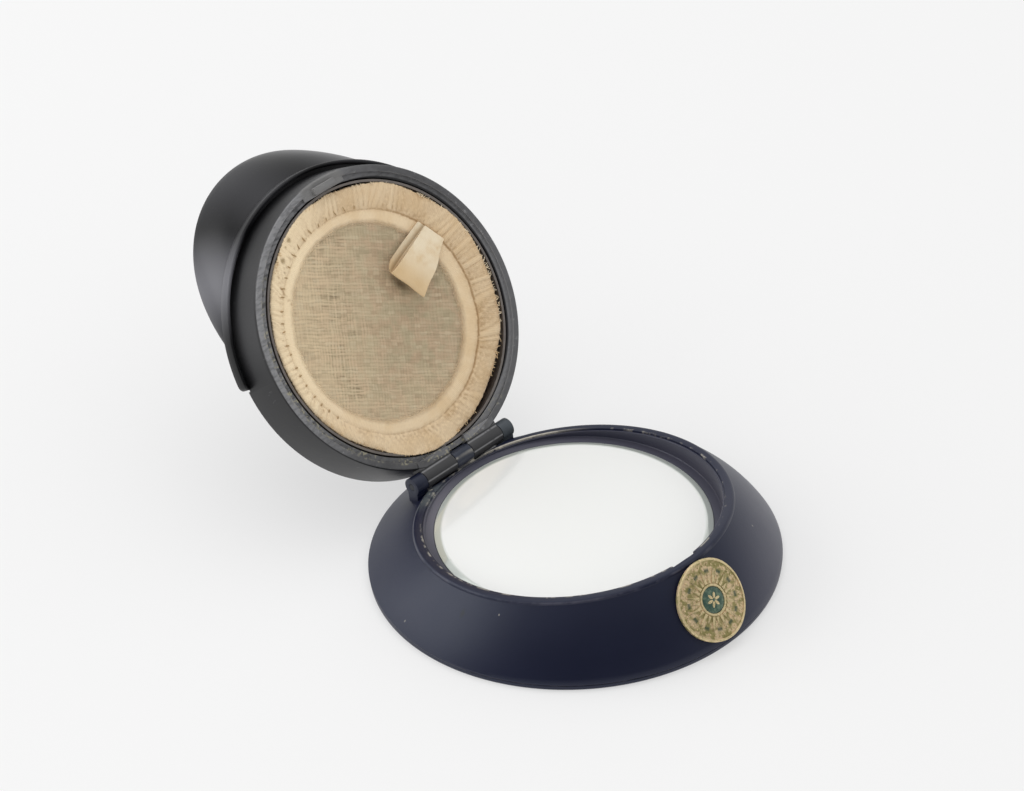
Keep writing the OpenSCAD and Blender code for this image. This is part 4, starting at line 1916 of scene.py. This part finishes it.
@dataclass
class Puff:
    """The powder puff: cushion, gauze face, gathered ribbon border, stitches and tab."""

    radius: float = 25.3
    foot: float = -4.53
    body_top: float = -0.98
    voxel: float = 0.9
    pressure: float = 4.0
    puff_out: float = 0.3
    days: int = 20
    gauze_radius: float = 20.4
    gauze_spot: Sequence[float] = (-1.1, 0, -0.62)
    gauze_rings: int = 15
    gauze_thick: float = 0.14
    gauze_sag: float = 0.09
    gauze_unevenness: float = 0.05
    pleats: int = 126
    columns: int = 1134
    crease: float = 21.1
    face_low: float = -0.6
    side_top: float = -1.5
    ribbon_thick: float = 0.12
    slip: float = -1.6
    lap_turn: float = 2.36
    bulges: Sequence[Sequence[float]] = (
        (0.35, 0.5, 0.3), (1.0, 0.4, 0.3), (1.9, 0.55, 0.4), (3.1, 0.7, -0.25),
        (4.45, 0.45, 0.95), (5.35, 0.5, -0.7))
    stitch: float = 0.16
    stitch_stretch: Sequence[float] = (2.4, 0.9, 0.8)
    stitch_radius: float = 21.4
    stitched: Sequence[float] = (1.25, 3.75)
    frays: Sequence[tuple[float, float, int]] = ((6.2, 0.85, 110), (4.3, 0.8, 40), (1.7, 0.8, 40))
    fray_radius: float = 25.0
    fibre: float = 0.055
    fibre_half: float = 0.4
    fibre_joint: float = 0.1
    tab_root: Sequence[float] = (17.4, 9.8, 0.45)
    tab_turn: float = 211.0
    tab_lift: float = 7.0
    tab_length: float = 13.05
    tab_height: float = 1.9
    tab_thick: float = 0.16
    tab_columns: int = 40
    tab_rows: int = 10
    folds: list[tuple[float, float, float]] = field(default_factory=list)

    def __post_init__(self) -> None:
        """Sets each pleat's start, end and height a little unevenly, the same way each time."""
        dice = random.Random(11)
        step = math.tau / self.pleats
        starts = [step * (i + dice.uniform(-0.28, 0.28)) for i in range(self.pleats)]
        ends = [*starts[1:], starts[0] + math.tau]
        self.folds = [(start, end, dice.uniform(0.25, 1.1)) for start, end in zip(starts, ends)]

    def fold(self, turn: float) -> float:
        """Height of the pleats at an angle: 0 in a valley, up to about 1 on a pleat.

        Args:
            turn: The angle, in radians.

        Returns:
            The height. The pleats stand up most at the lid's top and on its right.
        """
        turn %= math.tau
        strength = 0.74 + 0.2 * math.cos(turn - 1.0) + 0.2 * math.cos(2 * (turn - 0.2))
        for start, end, height in self.folds:
            if start <= turn < end or start <= turn + math.tau < end:
                along = ((turn if turn >= start else turn + math.tau) - start) / (end - start)
                return math.sin(math.pi * along) ** 0.65 * height * strength
        return 0.0

    def bulge(self, turn: float) -> float:
        """How far the border bulges out at an angle, in radians.

        Args:
            turn: The angle.

        Returns:
            The distance, less than 0 where the border is drawn in.
        """
        total = 0.0
        for middle, half, size in self.bulges:
            away = abs((turn - middle + math.pi) % math.tau - math.pi)
            if away < half:
                total += size * (0.5 + 0.5 * math.cos(math.pi * away / half))
        return total

    def build_cushion(self) -> Piece:
        """Turns the cushion, then blows it up a little as cloth.

        Returns:
            The cushion.
        """
        edge, foot, top = self.radius - 0.75, self.foot, self.body_top
        rings = [(12, foot + 0.05), (edge - 2.4, foot + 0.05), (edge - 0.9, foot + 0.35),
                 (edge - 0.15, foot + 1.1), (edge, foot + 1.8), (edge - 0.35, foot + 2.6),
                 (edge - 1.4, top - 0.25), (edge - 3.5, top - 0.1), (12, top - 0.08)]
        cushion = turned("puff_cushion", rings, capped=True, corners=96)
        self.blow_up(cushion)
        return settle(smooth(cushion, 60), LID_FRAME)

    def blow_up(self, cushion: Piece) -> None:
        """Swells the cushion as cloth under pressure, each point by no more than a limit.

        Args:
            cushion: The cushion.
        """
        pick(cushion)
        cushion.data.remesh_voxel_size = self.voxel * MM
        bpy.ops.object.voxel_remesh()
        before = [p.co.copy() for p in cushion.data.vertices]
        cloth = cushion.modifiers.new("cloth", "CLOTH")
        cloth.settings.use_pressure = True
        cloth.settings.uniform_pressure_force = self.pressure
        cloth.settings.effector_weights.gravity = 0
        for day in range(1, self.days + 1):
            bpy.context.scene.frame_set(day)
        bpy.ops.object.modifier_apply(modifier=cloth.name)
        bpy.context.scene.frame_set(1)
        for point, start in zip(cushion.data.vertices, before):
            step = point.co - start
            if step.length > self.puff_out * MM:
                point.co = start + step.normalized() * self.puff_out * MM

    def build_gauze(self) -> Piece:
        """A round of gauze, inset into rings, that sags a little between them.

        Returns:
            The gauze.
        """
        clear()
        bpy.ops.mesh.primitive_circle_add(
            vertices=120, radius=self.gauze_radius * MM, fill_type="NGON",
            location=[length * MM for length in self.gauze_spot])
        gauze = settle(named("gauze_face"))
        edit(gauze, "SELECT")
        for _ in range(self.gauze_rings):
            bpy.ops.mesh.inset(thickness=self.gauze_radius / (self.gauze_rings + 1) * MM,
                               depth=0.0)
        bpy.ops.mesh.poke()
        clear()

        def sag(p: Vector) -> Vector:
            """Moves a point of the gauze up or down a little.

            Args:
                p: The point.

            Returns:
                Its place.
            """
            wide = self.gauze_sag * noise.noise(Vector((p.x, p.y, 3.0)) / 5)
            fine = self.gauze_unevenness * noise.noise(Vector((p.x, p.y, 9.0)) / 1.7)
            return Vector((p.x, p.y, p.z + wide + fine))

        reshaped(gauze, sag)
        apply_modifier(gauze, "SOLIDIFY", thickness=self.gauze_thick * MM, offset=0.0)
        return settle(smooth(gauze, 60), LID_FRAME)

    def border_section(self) -> list[tuple[float, float, float, float]]:
        """The border's section: radius, height, rise of the pleats and their inward pull."""
        return [(18.45, -0.42, 0.0, 0.0), (18.5, -0.34, 0.02, 0.0), (18.8, -0.27, 0.02, 0.0),
                (19.3, -0.23, 0.02, 0.0), (19.9, -0.22, 0.03, 0.0), (20.5, -0.2, 0.05, 0.0),
                (20.9, -0.22, 0.08, 0.0), (self.crease, -0.32, 0.1, 0.0),
                (21.35, -0.2, 0.22, 0.0), (21.9, 0.0, 0.34, 0.0), (22.6, 0.12, 0.38, 0.0),
                (23.4, 0.16, 0.38, 0.0), (24.3, 0.1, 0.4, 0.03), (25.0, -0.08, 0.34, 0.14),
                (25.4, -0.45, 0.16, 0.2), (25.42, -1.2, 0.0, 0.2), (25.25, -2.0, 0.0, 0.1),
                (24.9, -2.9, 0.0, 0.0), (24.2, -3.7, 0.0, 0.0), (23.2, -4.25, 0.0, 0.0),
                (22.2, -4.5, 0.0, 0.0)]

    def build_border(self) -> Piece:
        """Lays a ribbon round the puff and gathers it into pleats.

        Returns:
            The border.
        """
        section = self.border_section()
        rows = len(section) - 1
        border = grid("ribbon_border", self.columns, rows)
        shades, places = [], []

        def gather(p: Vector) -> Vector:
            """Moves a grid point to its place on the gathered ribbon and notes its shade.

            Args:
                p: The point.

            Returns:
                Its place.
            """
            turn = math.tau * p.x
            cosine, sine = math.cos(turn), math.sin(turn)
            radius, height, rise, pull = section[round(p.y * rows)]
            on_face = height > self.face_low
            place = Vector((cosine, sine, 4.0))
            slant = 0.05 * noise.noise(place * 4)
            calm = 0.75 + 0.6 * noise.noise(place * 7)
            fold = 0.5 + calm * (self.fold(turn + slant * (radius - 22.5)) - 0.5)
            wander = noise.noise(Vector((cosine, sine, 0.5)) * 6)
            fine = noise.noise(Vector((cosine * 25, sine * 25, radius)))

            # How much painted shade the ribbon gets here: in its valleys and puckers, at the lap
            # and along the crease
            valley = rise / 0.4 * max(0.0, 0.7 - fold)
            lap = (turn - self.lap_turn) * radius + 0.8 * (radius - 23)
            overlap = ridge(lap, 0.45) if radius > 19 else 0.0
            deep = 0.55 + 0.45 * facing(turn, -0.5)
            pucker = ridge(radius - 21.9, 0.9) * max(0.0, 0.55 - fold)
            crease = ridge(radius - self.crease, 0.3) * (0.6 + 0.3 * math.cos(turn + 0.1))
            shades.append(min(1.0, valley * deep + pucker * 1.6 * deep + overlap * 0.8 + crease))
            places.append(radius)

            # How far it slips, bulges and is drawn in
            held = share((25.2 - radius) / 3.2) if on_face else 0.0
            inner = max(0.0, (20.9 - radius) / 2.4)
            swell = self.bulge(turn) * share((radius - 22) / 3)
            lifted = share(swell / 0.3)
            if height < self.side_top:
                swell = min(0.0, swell)
            radius += wander * 0.16 + fine * 0.03 - pull * (1 - fold)
            radius -= inner * (0.9 * facing(turn, 5.06) ** 2 + 1.1 * facing(turn, 0.2) ** 2)
            if on_face:
                radius += 0.5 * ridge(radius - 21.2, 1.6) * facing(turn, -0.1) ** 2
            height += rise * (fold - 0.35) + fine * 0.05
            radius += swell * (0.0 if self.side_top < height < -1.0 and swell > 0 else 1.0)
            if height > self.side_top:
                height += max(0.0, swell) * 0.2 + lifted * max(0.0, 0.2 - height) * 0.95
            return Vector((radius * cosine + self.slip * held, radius * sine, height))

        reshaped(border, gather)
        for name, values in (("shade", shades), ("across", places)):
            border.data.attributes.new(name, "FLOAT", "POINT").data.foreach_set("value", values)
        edit(border, "SELECT")
        bpy.ops.mesh.remove_doubles(threshold=1e-6)
        close_up()
        apply_modifier(border, "SOLIDIFY", thickness=self.ribbon_thick * MM, offset=-1.0)
        return settle(smooth(border, 60), LID_FRAME)

    def build_stitches(self) -> Piece:
        """One stitch, then copied into the valleys between the pleats.

        Returns:
            The stitches.
        """
        stitch = ball("stitch", self.stitch, (0, 0, 0), self.stitch_stretch, 8, 6)
        dice = random.Random(5)
        places = []
        for turn, _, _ in self.folds[::2]:
            long = 0.8 + 2.2 * facing(turn, 1.9) ** 3 * dice.uniform(0.4, 1.0)
            out = self.stitch_radius + 0.3 * (long - 0.8) + dice.uniform(-0.08, 0.12)
            if self.stitched[0] < turn % math.tau < self.stitched[1]:
                places.append(moved(self.slip * 0.85, 0, 0) @ spun(turn)
                              @ moved(out, 0, dice.uniform(-0.12, -0.06))
                              @ spun(dice.uniform(-0.35, 0.35))
                              @ Matrix.Diagonal((long, 1, 1, 1)))
        stitches = joined("border_stitches", spread(stitch, places))
        return settle(smooth(stitches, 80), LID_FRAME)

    def build_fray(self) -> Piece:
        """One loose fibre, bent a little, then copied along the border's frayed edge.

        Returns:
            The fibres.
        """
        fibre = bar("fibre", self.fibre, -self.fibre_half, self.fibre_half, corners=5)
        edit(fibre, "SELECT")
        bpy.ops.mesh.bisect(plane_co=(self.fibre_joint * MM, 0, 0), plane_no=(1, 0, 0))
        clear()
        dice = random.Random(23)
        places = []
        for middle, half, count in self.frays:
            for _ in range(count):
                turn = middle + dice.uniform(-half, half)
                out = self.fray_radius + self.bulge(turn) + dice.uniform(-0.2, 0.15)
                places.append(spun(turn) @ moved(out, 0, dice.uniform(0.0, 0.3))
                              @ spun(dice.uniform(-0.9, 0.9)) @ spun(dice.uniform(-0.1, 0.5), "Y")
                              @ Matrix.Diagonal((dice.uniform(0.5, 1.1), 1, 1, 1)))
        return settle(joined("border_fray", spread(fibre, places)), LID_FRAME)

    def build_tab(self) -> Piece:
        """Lays a strip of ribbon over itself in a flat loop.

        Returns:
            The tab.
        """
        tab = grid("ribbon_tab", self.tab_columns, self.tab_rows)

        def loop(p: Vector) -> Vector:
            """Moves a grid point to its place on the loop.

            Args:
                p: The point.

            Returns:
                Its place.
            """
            turn = math.radians(12 + 336 * p.x)
            along = (1 - math.cos(turn)) / 2
            left = -1.6 - 2.8 * along
            right = 3.15 + 0.4 * along - 0.2 * math.sin(3 * math.pi * along)
            side = left + (right - left) * p.y - 1.5 * share((turn - math.pi) / 0.9) * (1 - p.y)
            lift = self.tab_height / 2 * (0.35 + 0.65 * along) * math.sin(turn)
            wave = 0.12 * math.sin(side * 1.1 + along * 2) * along
            return Vector(((self.tab_length + 0.25 * p.y) * along, side, lift + wave))

        reshaped(tab, loop)
        apply_modifier(tab, "SUBSURF", levels=1, render_levels=1)
        apply_modifier(tab, "SOLIDIFY", thickness=self.tab_thick * MM, offset=0.0)
        place = (moved(*self.tab_root) @ spun(math.radians(self.tab_turn))
                 @ spun(math.radians(-self.tab_lift), "Y"))
        return settle(settle(smooth(tab, 60), place), LID_FRAME)

    def build(self, velour: Material, gauze: Material, ribbon: Material, tab: Material,
              thread: Material) -> None:
        """Args:
            velour: The cushion's finish.
            gauze: The face's finish.
            ribbon: The border's finish.
            tab: The tab's finish.
            thread: The stitches' finish.
        """
        cushion = dressed(self.build_cushion(), velour, Body.BAND, Slot.VELOUR, "puff_body")
        face = dressed(self.build_gauze(), gauze, Body.BAND, Slot.GAUZE, "puff_gauze")
        border = dressed(self.build_border(), ribbon, Body.BAND, Slot.RIBBON, "puff_border")
        stitches = dressed(self.build_stitches(), thread, Body.BAND, Slot.RIBBON)
        fray = dressed(self.build_fray(), tab, Body.BAND, Slot.RIBBON)
        loop = dressed(self.build_tab(), tab, Body.BAND, Slot.RIBBON, "puff_tab")


@dataclass
class KeptNodes:
    """The CAD nodes that stay as they are and only get a finish."""

    finishes: Mapping[str, DullMetal | MattMatter] = field(default_factory=lambda: {
        "mirror_silvering": DullMetal("silvering", (205, 209, 210), 0.2),
        "mirror_backing_card": MattMatter("backing_card", (140, 122, 100), (98, 84, 68), 0.4),
        "hinge_pin": DullMetal("pin_steel", (84, 86, 90), 0.45),
        "powder_pan": DullMetal("pan_metal", (160, 152, 146), 0.46),
        "powder_cake": MattMatter("pressed_powder", (226, 190, 158), (206, 168, 136), 0.3),
    })

    def build(self, black: Material) -> None:
        """Gives each kept node its material.

        Args:
            black: The base plate's finish.
        """
        made = {name: finish.make() for name, finish in self.finishes.items()}
        for name, material in {**made, "band_base_plate": black}.items():
            for slot in frame["nodes"][name].material_slots:
                slot.material = material
            LOG.info("dressed %s", name)


def main() -> None:
    """Builds the studio and each part of the compact, in order."""
    logging.basicConfig(level=logging.INFO, format="%(message)s")
    Studio().build()
    navy, black = NavyPlastic().make(), BlackPlastic().make()
    Crown().build(navy)
    Mirror().build(SilveredGlass().make())
    Badge().build(BadgeBrass().make(), GreenEnamel().make())
    Band().build(black)
    Visor().build(VisorPlastic().make())
    Puff().build(Velour().make(), Gauze().make(), Ribbon().make(), TabRibbon().make(),
                 Thread().make())
    KeptNodes().build(black)


if __name__ == "__main__":
    main()
